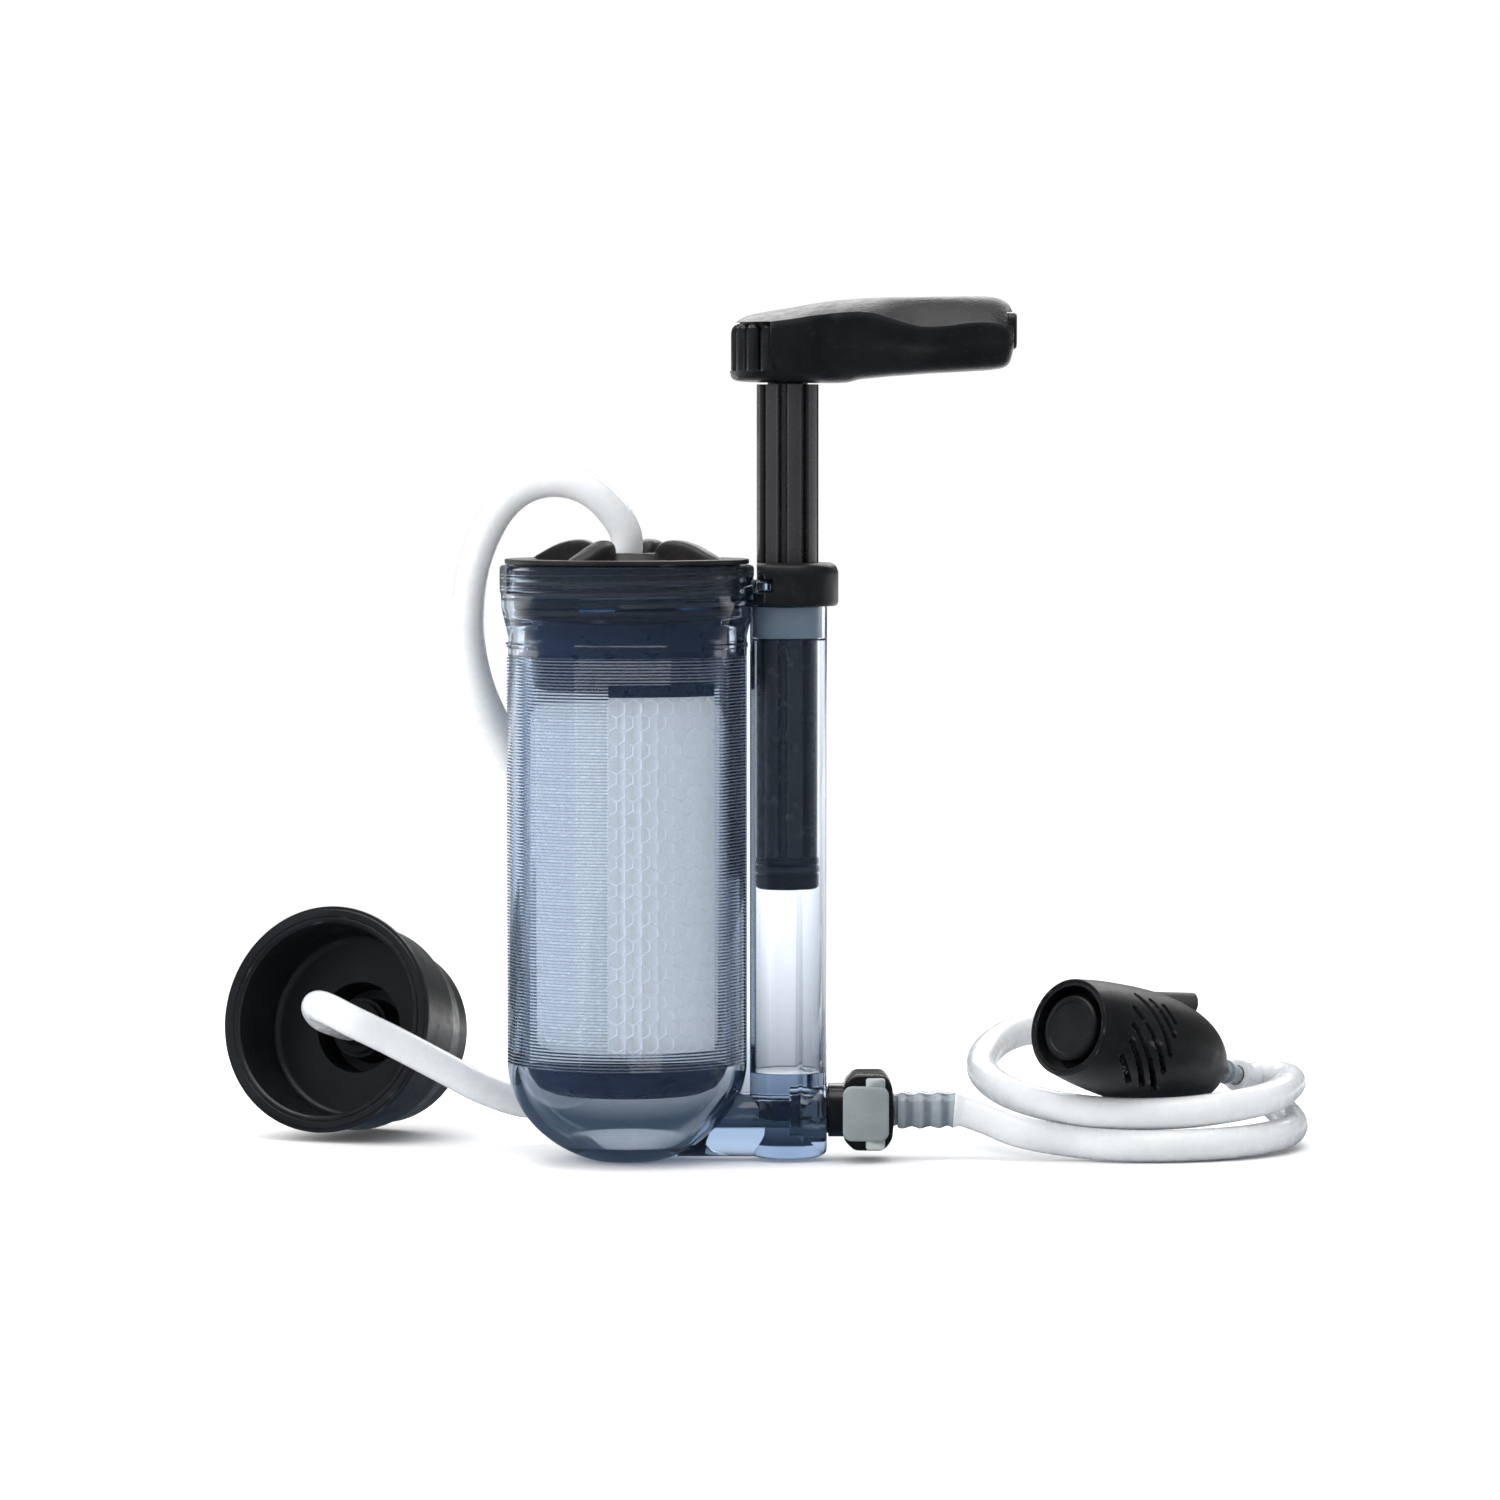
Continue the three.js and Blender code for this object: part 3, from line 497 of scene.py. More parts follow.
def moulded(
    name,
    dark,
    light,
    roughness,
    grain=0.0,
    grain_scale=2600,
    wear_and_edge_colour=(0.07, 0.07, 0.075),
    coat=0.0,
    wear=0.12,
):
    """Moulded plastic: cloudy colour, fine grain, flow marks and lighter convex edges."""
    look = Look(name)
    colour = look.ramp(look.noise(90, 4), dark, light, 0.35, 0.65)
    colour = look.mix(look.value(look.noise(700, 5), 0, wear, 0.58, 0.78), colour, wear_and_edge_colour)
    # lighter along convex edges
    colour = look.mix(look.value(look.edges(), 0, 0.6, 0, 1), colour, wear_and_edge_colour)
    rough = look.value(look.noise(260, 5, 0.65), roughness - 0.07, roughness + 0.09)
    normal = look.bump(look.noise(55, 2, stretch=(1, 1, 0.3)), 0.12, 0.25)
    if grain:
        normal = look.bump(look.cells(grain_scale), grain, 0.6, normal)
    normal = look.bump(look.noise(4200, 2), 0.015, 0.5, normal)
    return look.finish(
        Base_Color=colour,
        Roughness=rough,
        Normal=normal,
        Coat_Weight=coat,
        Coat_Roughness=0.12,
        Specular_IOR_Level=0.36,
    )


# Colours of the clear wall's haze off and on the ribs' crests, and its least and most share; the lighter
# haze on the crests is a painted highlight.
HAZE_AND_CREST_HIGHLIGHT = {"smooth": (0.14, 0.20, 0.30), "crest": (0.42, 0.50, 0.60), "least": 0.03, "most": 0.2}
VALLEY_SHADE_TONE = (0.30, 0.37, 0.50)  # painted shade: darker colour given to the light that passes the groove between two ribs
TINT = {"Color": (0.20, 0.36, 0.55, 1), "Density": 115.0}  # absorption for each metre of wall


def rib_shade_and_highlight_masks(look):
    """Two masks of the housing's ribs: their valleys, for painted shade, and their crests, for a painted
    highlight; both are 0 elsewhere.
    """
    x, y, z = [look.axis(name) for name in "XYZ"]
    phase = look.math("DIVIDE", look.math("SUBTRACT", z, RIB_LOW * MM), RIB_PITCH * MM)
    wave = look.math("COSINE", look.math("MULTIPLY", phase, 2 * math.pi))
    valley_shade = look.value(wave, 1, 0, -1, 0.3)
    crest = look.value(wave, 0, 1, -0.2, 0.8)
    flat = look.add("CombineXYZ", {"X": x, "Y": y}).outputs[0]
    radius = look.add("VectorMath", {0: flat}, operation="LENGTH").outputs["Value"]
    tests = [
        look.math("GREATER_THAN", z, RIB_LOW * MM),
        look.math("LESS_THAN", z, RIB_HIGH * MM),
        look.math("GREATER_THAN", radius, (BODY_R - 0.5) * MM),
        look.math("LESS_THAN", radius, (BODY_R + 0.1) * MM),
    ]
    left, right = [BODY_R * math.cos(turn) * MM for turn in WINDOW["turns"]]
    low, high = [edge * MM for edge in WINDOW["z"]]
    inside = look.math("MULTIPLY", look.math("GREATER_THAN", x, left), look.math("LESS_THAN", x, right))
    for operation, place, limit in (
        ("LESS_THAN", y, 0.0),
        ("GREATER_THAN", z, low),
        ("LESS_THAN", z, high),
    ):
        inside = look.math("MULTIPLY", inside, look.math(operation, place, limit))
    tests.append(look.math("SUBTRACT", 1.0, inside))
    for test in tests:
        valley_shade = look.math("MULTIPLY", valley_shade, test)
        crest = look.math("MULTIPLY", crest, test)
    return valley_shade, crest


def clear_plastic():
    """Smoke-blue clear plastic: tinted by its thickness, with painted shade in its ribs' valleys and a
    painted highlight of lighter haze on their crests, clear to shadow rays.
    """
    look = Look("clear_blue")
    rough = look.value(look.noise(120, 4), 0.015, 0.07, 0.4, 0.75)
    normal = look.bump(look.noise(160, 2, stretch=(1, 1, 0.25)), 0.03, 0.3)
    valley_shade, crest = rib_shade_and_highlight_masks(look)
    tone = look.mix(valley_shade, (0.98, 0.99, 1), VALLEY_SHADE_TONE)
    glass = look.principled(
        # painted shade: the ribs' grooves pass darker light
        Base_Color=tone,
        Roughness=rough,
        Normal=normal,
        IOR=1.49,
        Transmission_Weight=1.0,
    )
    # painted highlight: lighter haze, in a larger share, on the ribs' crests
    haze = look.add("BsdfDiffuse", {"Color": look.mix(crest, HAZE_AND_CREST_HIGHLIGHT["smooth"], HAZE_AND_CREST_HIGHLIGHT["crest"])}).outputs[0]
    share = look.value(crest, HAZE_AND_CREST_HIGHLIGHT["least"], HAZE_AND_CREST_HIGHLIGHT["most"])
    glass = look.blend(share, glass, haze)
    through = look.add("BsdfTransparent", {"Color": (0.99, 0.99, 1, 1)}).outputs[0]
    shadow = look.add("LightPath").outputs["Is Shadow Ray"]
    mixed = look.blend(shadow, glass, through)
    tint = look.add("VolumeAbsorption", TINT)
    look.tree.links.new(tint.outputs[0], look.output.inputs["Volume"])
    return look.surface(mixed)


def frosted_plastic():
    look = Look("frosted")
    colour = look.ramp(look.noise(150, 4), (0.24, 0.31, 0.39), (0.31, 0.39, 0.47))
    rough = look.value(look.noise(400, 4), 0.28, 0.45)
    normal = look.bump(look.noise(3000, 3), 0.02, 0.6)
    return look.finish(
        Base_Color=colour, Roughness=rough, Normal=normal, Transmission_Weight=0.25, IOR=1.46
    )


def milky_hose():
    """Milky hose: paler in the middle, with painted shade greying it where the wall is seen edge-on, and
    faint draw lines.
    """
    look = Look("milky_hose")
    edge = look.add("LayerWeight", {"Blend": 0.35}).outputs["Facing"]
    pale = look.ramp(look.noise(60, 2), (0.66, 0.68, 0.70), (0.69, 0.71, 0.725), 0.35, 0.65)
    # painted shade: the colour greys towards the silhouette, where the wall is seen edge-on
    colour = look.mix(look.value(edge, 0, 0.55, 0.35, 0.95), pale, (0.40, 0.43, 0.47))
    rough = look.value(look.noise(300, 5), 0.2, 0.34)
    normal = look.bump(look.noise(1500, 2), 0.004, 0.3)
    body = look.principled(
        Base_Color=colour,
        Roughness=rough,
        Normal=normal,
        Subsurface_Weight=0.2,
        Subsurface_Radius=(0.004, 0.004, 0.0045),
        Subsurface_Scale=1.0,
        Coat_Weight=0.25,
        Coat_Roughness=0.1,
        IOR=1.45,
    )
    light = look.add("BsdfTranslucent", {"Color": (0.9, 0.92, 0.94, 1), "Normal": normal}).outputs[0]
    return look.surface(look.blend(0.15, body, light))


def stretched_hose():
    """The hose where it is stretched thin over the coupling's barb, so the grey barb shows, with painted
    highlights and shade in stripes over its ridges.
    """
    look = Look("stretched_hose")
    # painted highlights and shade: light and dark stripes at the barb's ridge pitch
    ridge_light_phase = look.math("MULTIPLY", look.axis("X"), 2 * math.pi / (RIDGE_PITCH * MM))
    wave = look.math("SINE", ridge_light_phase)
    colour = look.ramp(look.value(wave, 0, 1, -1, 1), (0.10, 0.125, 0.15), (0.25, 0.29, 0.32), 0.1, 0.8)
    clouds = look.value(look.noise(500, 4), 0, 0.4)
    colour = look.mix(clouds, colour, (0.17, 0.2, 0.23))
    normal = look.bump(look.noise(700, 3), 0.04, 0.4)
    return look.finish(
        Base_Color=colour, Roughness=0.22, Normal=normal, Coat_Weight=0.5, Coat_Roughness=0.08, IOR=1.45
    )


def rubber(name, dark, light, roughness=0.42):
    """Satin rubber with mould sheen, dust specks and lighter convex edges."""
    look = Look(name)
    colour = look.ramp(look.noise(60, 5), dark, light, 0.35, 0.68)
    dust = look.value(look.noise(1500, 6, 0.7), 0, 0.15, 0.66, 0.8)
    colour = look.mix(dust, colour, (0.06, 0.064, 0.068))
    # lighter along convex edges
    colour = look.mix(look.value(look.edges(), 0, 0.4, 0, 1), colour, (0.05, 0.054, 0.058))
    rough = look.value(look.noise(200, 5, 0.7), roughness - 0.08, roughness + 0.12)
    normal = look.bump(look.noise(2200, 3), 0.02, 0.5)
    normal = look.bump(look.noise(70, 2), 0.15, 0.2, normal)
    return look.finish(Base_Color=colour, Roughness=rough, Normal=normal, IOR=1.5)


PAINTED_GLOW = 0.13  # painted light: glow given to the thin white medium and net, standing in for light that reaches them from all round
PAINTED_GLOW_COLOUR = (1, 0.98, 0.95, 1)


def filter_fabric():
    """Matted white fibres of the pleated medium, with a painted glow."""
    look = Look("filter_fabric")
    fibre = look.noise(1800, 6, 0.7, stretch=(1, 1, 0.2))
    colour = look.ramp(fibre, (0.84, 0.86, 0.88), (0.93, 0.95, 0.96), 0.3, 0.7)
    normal = look.bump(fibre, 0.05, 0.7)
    return look.finish(
        Base_Color=colour,
        Roughness=0.9,
        Normal=normal,
        Sheen_Weight=0.3,
        Emission_Color=PAINTED_GLOW_COLOUR,
        Emission_Strength=PAINTED_GLOW,
    )


def net_plastic():
    look = Look("net_plastic")
    colour = look.ramp(look.noise(400, 4), (0.80, 0.85, 0.88), (0.92, 0.95, 0.97))
    rough = look.value(look.noise(900, 3), 0.3, 0.5)
    normal = look.bump(look.noise(2500, 3), 0.02, 0.5)
    # painted light: the net glows more brightly than the medium
    return look.finish(
        Base_Color=colour,
        Roughness=rough,
        Normal=normal,
        Emission_Color=PAINTED_GLOW_COLOUR,
        Emission_Strength=1.5 * PAINTED_GLOW,
    )


def pressed_carbon():
    look = Look("pressed_carbon")
    grains = look.cells(1400)
    colour = look.ramp(grains, (0.03, 0.03, 0.032), (0.008, 0.008, 0.009), 0.1, 0.7)
    normal = look.bump(grains, 0.25, 0.9)
    return look.finish(Base_Color=colour, Roughness=0.85, Normal=normal)


def spring_steel():
    look = Look("spring_steel")
    drawn = look.noise(2500, 4, 0.6, stretch=(1, 0.1, 1))
    colour = look.ramp(drawn, (0.42, 0.43, 0.44), (0.66, 0.67, 0.68))
    rough = look.value(drawn, 0.18, 0.38)
    normal = look.bump(drawn, 0.01, 0.5)
    return look.finish(Base_Color=colour, Metallic=1.0, Roughness=rough, Normal=normal)


BLACK = moulded("black_plastic", (0.004, 0.0044, 0.0054), (0.008, 0.0086, 0.0098), 0.42, grain=0.03)
GRAINED = moulded(
    "grained_black", (0.0036, 0.004, 0.005), (0.0075, 0.0082, 0.0096), 0.38, grain=0.11, grain_scale=1500
)
GLOSSY = moulded(
    "glossy_black", (0.004, 0.004, 0.0044), (0.0075, 0.0075, 0.0082), 0.24, coat=0.2, wear=0.03
)
LID_BROWN = moulded(
    "lid_plastic",
    (0.010, 0.0092, 0.009),
    (0.018, 0.0165, 0.016),
    0.42,
    grain=0.03,
    wear_and_edge_colour=(0.12, 0.11, 0.105),
)
NAVY = moulded("navy_plastic", (0.010, 0.017, 0.040), (0.018, 0.028, 0.060), 0.3, wear_and_edge_colour=(0.06, 0.08, 0.12))
GREY = moulded(
    "grey_plastic", (0.16, 0.19, 0.195), (0.21, 0.24, 0.245), 0.42, grain=0.02, wear_and_edge_colour=(0.45, 0.5, 0.5)
)
BARB_GREY = moulded(
    "barb_grey", (0.09, 0.115, 0.14), (0.15, 0.18, 0.21), 0.26, wear_and_edge_colour=(0.3, 0.34, 0.37), coat=0.3
)
PEG_BROWN = moulded(
    "peg_plastic", (0.035, 0.033, 0.032), (0.06, 0.056, 0.054), 0.5, wear_and_edge_colour=(0.13, 0.125, 0.12)
)
CLEAR = clear_plastic()
FROSTED = frosted_plastic()
MILKY = milky_hose()
STRETCHED = stretched_hose()
CUP_RUBBER = rubber("cup_rubber", (0.005, 0.0062, 0.0078), (0.0085, 0.0102, 0.0124), 0.34)
SEAL_RUBBER = rubber("seal_rubber", (0.006, 0.006, 0.0065), (0.011, 0.011, 0.012), 0.35)
FABRIC = filter_fabric()
NET = net_plastic()
CARBON = pressed_carbon()
STEEL = spring_steel()

BODIES = {node: body for body, nodes in frame["record"]["behaviour"]["bodies"].items() for node in nodes}


def show(obj, node, look, crease=32):
    """Gives a piece its material and lets it stand for a CAD node on that node's body."""
    obj.name = node + "_visual"
    obj.data.name = obj.name
    obj.data.materials.clear()
    obj.data.materials.append(look)
    obj.data.shade_smooth()
    obj.data.set_sharp_from_angle(angle=math.radians(crease))
    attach(obj, BODIES[node])
    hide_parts(node)
    return obj


# Housing.
def body_columns():
    """Angles of the body's columns, with close pairs at the window's two sides."""
    edge = math.radians(0.12)
    columns = turns(FINE)
    for side in WINDOW["turns"]:
        side %= 2 * math.pi
        columns = [t for t in columns if abs(t - side) > 6 * edge]
        columns += [side - 4 * edge, side - edge, side + edge, side + 4 * edge]
    return sorted(columns)


def in_window(turn, z):
    turn = (turn + math.pi) % (2 * math.pi) - math.pi
    low, high = WINDOW["turns"]
    return low < turn < high and WINDOW["z"][0] < z < WINDOW["z"][1]


def housing_body():
    columns = body_columns()
    profile = [(r, z, False) for r, z in dome(BODY_R, 25.2, 0, DOME_Z) if z < RIB_LOW - 0.4]
    ribs = round((RIB_HIGH - RIB_LOW) / RIB_PITCH)
    for i in range(ribs * RIB_STEPS + 1):
        profile.append((BODY_R, RIB_LOW + i * RIB_PITCH / RIB_STEPS, i % RIB_STEPS))
    top = [
        (BODY_R, 123.2), (BODY_R + 0.25, 123.6), (BODY_R + 0.25, 124.2), (BODY_R, 124.6),
        (BODY_R, 126), (29.3, 127.8), (29.8, 129.8), (30.2, 131.6), (RIM_R, 133.4),
        (RIM_R, RIM_TOP - 0.8), (RIM_R - 0.25, RIM_TOP - 0.25), (RIM_R - 0.8, RIM_TOP),
    ]
    profile += [(r, z, False) for r, z in top]
    rings = [[(0, 0, 0)]]
    for radius, z, phase in profile:
        depth = RIB_DEPTH * (1 - math.cos(2 * math.pi * phase / RIB_STEPS)) / 2 if phase else 0
        rings.append([polar(radius - (0 if in_window(t, z) else depth), t, z) for t in columns])
    rings.append([(0, 0, RIM_TOP)])
    return loft(rings)


def housing_hollow():
    profile = [(0, 5), *dome(26.3, 22.9, 5, DOME_Z), (26.3, 129), (27.6, 131)]
    profile += [(27.6, RIM_TOP - 0.4), (28.1, RIM_TOP + 1), (0, RIM_TOP + 1)]
    return lathe(profile, FINE, 0.6)


def pump_cylinder():
    profile = [(0, 0.7), (7.5, 0.7), (8.9, 1.3), (PUMP_R, 2.7), (PUMP_R, PUMP_TOP), (0, PUMP_TOP)]
    return placed(lathe(profile, ROUND, 0.5), AT_PUMP)


def valve_block():
    profile = [(0, 36), (9.2, 36), (9.2, 46.1), (8.6, 47.4), (8, 47.9), (0, 47.9)]
    return placed(lathe(profile, ROUND, 0.4), shift(0, 0, 9.9) @ Z_TO_X)


def valve_arm():
    return placed(disc(7.9, 12, 40), shift(0, 0, 8.6) @ Z_TO_X)


def pump_bore():
    profile = [(0, PUMP_FLOOR), (PUMP_BORE, PUMP_FLOOR), (PUMP_BORE, BUSH_Z), (8.7, BUSH_Z)]
    profile += [(8.7, PUMP_TOP + 1), (0, PUMP_TOP + 1)]
    return placed(lathe(profile, ROUND, 0.3), AT_PUMP)


def housing():
    shell = housing_body()
    lugs = bevelled(block(*LUGS), 0.4)
    web = block(26.9, PUMP_X - PUMP_BORE, -3, 3, 10, 138)
    join(shell, pump_cylinder(), lugs, web, valve_block(), valve_arm())
    thread = helix(27.5, 1.3, THREAD_PITCH, 133.74, -math.pi / 2 - 0.38, 4.35)
    port = placed(disc(1.9, VALVE_Z, PUMP_FLOOR + 1, 32), shift(PORT_X, 0, 0))
    passage = placed(disc(4, 19, 49, 48), ALONG_X)
    socket = placed(disc(6, 38.9, 49, 64), ALONG_X)
    cut(shell, housing_hollow(), pump_bore(), thread, port, passage, socket)
    show(shell, "filter_housing", CLEAR, 26)


# Valves and quick coupling.
def valves():
    carrier = lathe([(2, 35.8), (3.7, 35.8), (3.7, 39.2), (5.7, 39.2), (5.7, 41.4), (2, 41.4)])
    pegs = []
    for turn in turns(3):
        pegs.append(placed(disc(0.7, 41, 44.1, 20), shift(*polar(2.9, turn, 0))))
    show(placed(join(carrier, *pegs), ALONG_X), "valve_carrier", NAVY)
    stop = tube(3.8, 2.4, 31.6, 32.8, 48)
    show(placed(stop, ALONG_X), "outlet_valve_stop", NAVY)
    for node, x in (("outlet_valve_disc", 34.5), ("inlet_valve_disc", 45.6)):
        show(placed(disc(3.2, x, x + 1, 48, 0.25), ALONG_X), node, SEAL_RUBBER)


BLADE = (58.2, 60.8)  # where the latch's blade starts and ends along X
LATCH_SPRING = {"x": 54.8, "y": -5.2, "loops": 4, "keep": 0.58}
SOCKET = {"x0": 51.9, "x1": 64.2, "half": 9.15, "side": 7.8, "chamfer": 2.6}


def coupling_body():
    x0, x1, half, side, chamfer = SOCKET.values()
    outline = [
        (x0 + chamfer, -half), (x1 - chamfer, -half), (x1 - 0.6, -half + chamfer), (x1, 0),
        (x1 - 0.6, half - chamfer), (x1 - chamfer, half), (x0 + chamfer, half),
        (x0, half - chamfer), (x0, -half + chamfer),
    ]
    body = bevelled(prism(softened(outline, 1.2, True), -side, side), 0.8, 4)
    upright = shift(0, 0, VALVE_Z) @ Z_TO_FRONT
    placed(body, upright)
    neck = [(0, 46.9), (5.1, 46.9), (5.1, 47.2), (4.8, 47.4), (5.6, 47.5), (5.6, 48.3), (6.5, 48.3)]
    neck += [(6.5, 53), (0, 53)]
    join(body, placed(lathe(neck, ROUND, 0.2), ALONG_X))
    bore = [(0, 46), (2, 46), (2, 52.3), (4.3, 52.3), (4.3, 63.8), (5.2, 65), (0, 65)]
    slot = block(BLADE[0] - 0.3, BLADE[1] + 0.3, -9, 9, VALVE_Z - 8.1, VALVE_Z + 8.1)
    pocket = shift(LATCH_SPRING["x"], -4.9, VALVE_Z) @ Z_TO_FRONT
    cut(body, placed(lathe(bore, 48, 0.2), ALONG_X), slot, placed(disc(1.9, 0, 4, 32), pocket))
    show(body, "coupling_body", GLOSSY)


def latch_button():
    plate = prism(rounded_rect(51.7, 62.7, 5.5, 18.6, 2.2), 9.5, 11.7)
    bevelled(plate, 0.7, 4)
    placed(plate, Z_TO_FRONT)
    tabs = bevelled(block(57.2, 61.8, -10.8, -9.5, VALVE_Z - 8.6, VALVE_Z + 8.6), 0.6)
    blade = block(BLADE[0], BLADE[1], -10.2, 5.6, VALVE_Z - 7.7, VALVE_Z + 7.7)
    join(plate, tabs, blade)
    holes = [placed(disc(4.9, 55, 64, 64), ALONG_X @ shift(0, y, 0)) for y in (0, -1.8)]
    show(cut(plate, *holes), "latch_button", GREY)


def latch_spring():
    """Coil from the pocket's floor to the button, with a mesh of its own."""
    x, y, loops, keep = LATCH_SPRING.values()
    coil = helix(1.3, 0.25, 0.95, 0, 0, loops, 10, 28)
    spring = show(placed(coil, shift(x, y, VALVE_Z) @ Z_TO_FRONT), "latch_spring", STEEL)
    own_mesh(spring)


def coupling_insert():
    profile = [(1.4, 53), (3.6, 53), (4, 53.5), (4, 54.6), (3, 54.6), (3, 56.4), (4, 56.4), (4, 57.8)]
    profile += [(3.2, 58.2), (3.2, 60.8), (4, 61.2), (4, 64)]
    for ridge in range(BARB_RIDGES):
        x = SLEEVE_START + RIDGE_PITCH * ridge
        profile += [(3.5, x + 0.5), (2.9, x + RIDGE_PITCH)]
    profile += [(2.6, 78.2), (1.4, 78.2)]
    show(placed(lathe(profile, ROUND, 0.15), ALONG_X), "coupling_insert", BARB_GREY)
    show(placed(torus(3.65, 0.5, 55.5), ALONG_X), "insert_oring", SEAL_RUBBER)


# Hoses.
def coil_point(degrees, z, inset=0):
    x, y = polar(COIL["radius"] - inset, math.radians(degrees))
    return (COIL["x"] + x, COIL["y"] + y, z)


def prefilter_point(distance):
    return tuple(PREFILTER_TAIL + (distance - 13) * PREFILTER_AXIS)


INLET_PATH = [
    (SLEEVE_START, 0, VALVE_Z), (72, 0, VALVE_Z), (79.5, 0, VALVE_Z), (86, -0.6, 10),
    (94, -2.6, 7), coil_point(-118, 4.6, 0.5), coil_point(-100, 4.1), coil_point(-80, 4),
    coil_point(-55, 4.1), coil_point(-30, 4.5), coil_point(-5, 5.2), coil_point(20, 7.8),
    coil_point(45, 14.5), coil_point(75, 21.5), coil_point(105, 25), coil_point(135, 25.5),
    coil_point(160, 22.5), coil_point(185, 18.4), coil_point(210, 14.8, 1),
    coil_point(235, 12.4, 2.2), coil_point(260, 11.4, 3), coil_point(285, 11.6, 3),
    coil_point(310, 12.8, 2), coil_point(330, 13.8, 1.4), coil_point(348, 14.9, 1.2),
    (162.1, 31.2, 15.7), (160.4, 36.4, 16), (155.6, 38.9, 15.8), prefilter_point(-2.4),
    prefilter_point(2),
]


def sleeve_radius(x):
    """Outside of the hose over the coupling's barb: a swell over each ridge, then the plain hose."""
    swell = 4.35 + 0.3 * math.cos(2 * math.pi * (x - SLEEVE_START - 1.2) / RIDGE_PITCH)
    if x < SLEEVE_END:
        return swell
    fade = min(1, (x - SLEEVE_END) / 2.5)
    return swell + (HOSE_R - swell) * fade * fade * (3 - 2 * fade)


def inlet_hose():
    path = curve_through(INLET_PATH, 0.9)
    last = next(i for i, point in enumerate(path) if point.x > SLEEVE_END + 6)
    line = hose(
        path,
        lambda i: sleeve_radius(path[i].x) if i < last else HOSE_R,
        lambda i: BARB_ROOM if i < last and path[i].x < BARB_END else HOSE_BORE,
    )
    show(line, "inlet_hose", MILKY, 40)
    line.data.materials.append(STRETCHED)
    for face in line.data.polygons:
        face.material_index = int(face.center.x < SLEEVE_END * MM)


def adapter_point(distance):
    return tuple(ADAPTER_CENTRE + distance * ADAPTER_AXIS)


OUTLET_PATH = [
    (0, 0, 145.2), (-0.2, 0, 150), (-2.4, 0, 154.5), (-7.5, 0.2, 159.8), (-12.4, 0.6, 162.3),
    (-18, 1.2, 163), (-24, 2, 161.6), (-29, 2.8, 158), (-33.2, 3.8, 152), (-36.6, 5, 143.5),
    (-38.2, 6.4, 134), (-38.2, 8.4, 124), (-36, 12, 113), (-31, 18.5, 101), (-23.5, 26.5, 86),
    (-14, 33, 68), (-6.5, 36.2, 50), (-3.8, 36.5, 33), (-6.8, 34.8, 19), (-14.5, 31, 11.6),
    (-24.5, 27, 10.8), (-35, 24, 14.2), (-46, 21.8, 20.2), (-58, 19.6, 26.8), (-67.5, 18.2, 31.6),
    (-73.6, 20.6, 34.4), (-76.4, 26.6, 34.4), (-76, 34, 31.8), adapter_point(-8),
    adapter_point(-14),
]


def outlet_hose():
    path = curve_through(OUTLET_PATH, 0.9)
    line = hose(path, lambda i: HOSE_R, lambda i: HOSE_BORE)
    show(line, "outlet_hose", MILKY, 40)


# Prefilter, made along +Z with its tail at 0 and its open end at the top, then turned.
SHELL_OUTSIDE = [
    (4.6, 0), (7.6, 2.2), (10.4, 6.5), (12.6, 13), (13.8, 21), (13.9, 31), (12.9, 45), (11.75, 53),
]
SHELL_WALL = 1.6
SHELL_SLOTS = [  # degrees and height of each slanting slot's lower and upper end
    ((-94, 38.1), (-66, 46.2)),
    ((-94, 33.4), (-46, 45.1)),
    ((-95, 28.8), (-29, 44.7)),
    ((-72, 30.1), (-8, 43.5)),
    ((-55, 30.2), (13, 40)),
    ((-35, 29.7), (8, 35.6)),
    ((-20, 29), (4, 31.5)),
]
SLOT_HALF = 0.78  # half of a slot's width
SLOT_REACH = (10, 17)  # radii between which its cutter stands
PEG = {"radius": 2.5, "from": Vector((4.3, 10.3, 30.9)), "to": Vector((11.7, 7.8, 12.6))}


def slot_tool(side, low, high):
    """Slanting cutter with round ends, from inside the shell to outside it."""
    radius = 13.5  # where the slot's length and width are true
    across = math.radians(high[0] - low[0]) * radius
    rise = high[1] - low[1]
    length = math.hypot(across, rise)
    rings = []
    steps = 28
    for i in range(steps + 1):
        along = length * (1 - math.cos(math.pi * i / steps)) / 2
        from_end = min(along, length - along, SLOT_HALF)
        half = math.sqrt(max(0.0, SLOT_HALF**2 - (SLOT_HALF - from_end) ** 2)) + 0.02
        turn = math.radians(side + low[0]) + across / radius * along / length
        z = low[1] + rise * along / length
        aside = half * rise / length / radius
        up = half * across / length
        below, above = (turn + aside, z - up), (turn - aside, z + up)
        inner, outer = SLOT_REACH
        corners = ((inner, below), (outer, below), (outer, above), (inner, above))
        rings.append([polar(reach, *edge) for reach, edge in corners])
    return loft(rings)


def smoothed_profile(points):
    return [(p.x, p.y) for p in curve_through([(r, z, 0) for r, z in points], 1.2)]


def peg_rod(radius, low, high, soften=0.0):
    """Rod on the peg's axis that reaches beyond the peg's two ends by low and high."""
    along = PEG["to"] - PEG["from"]
    rod = disc(radius, -low, along.length + high, 48, soften)
    return placed(rod, facing(PEG["from"], along))


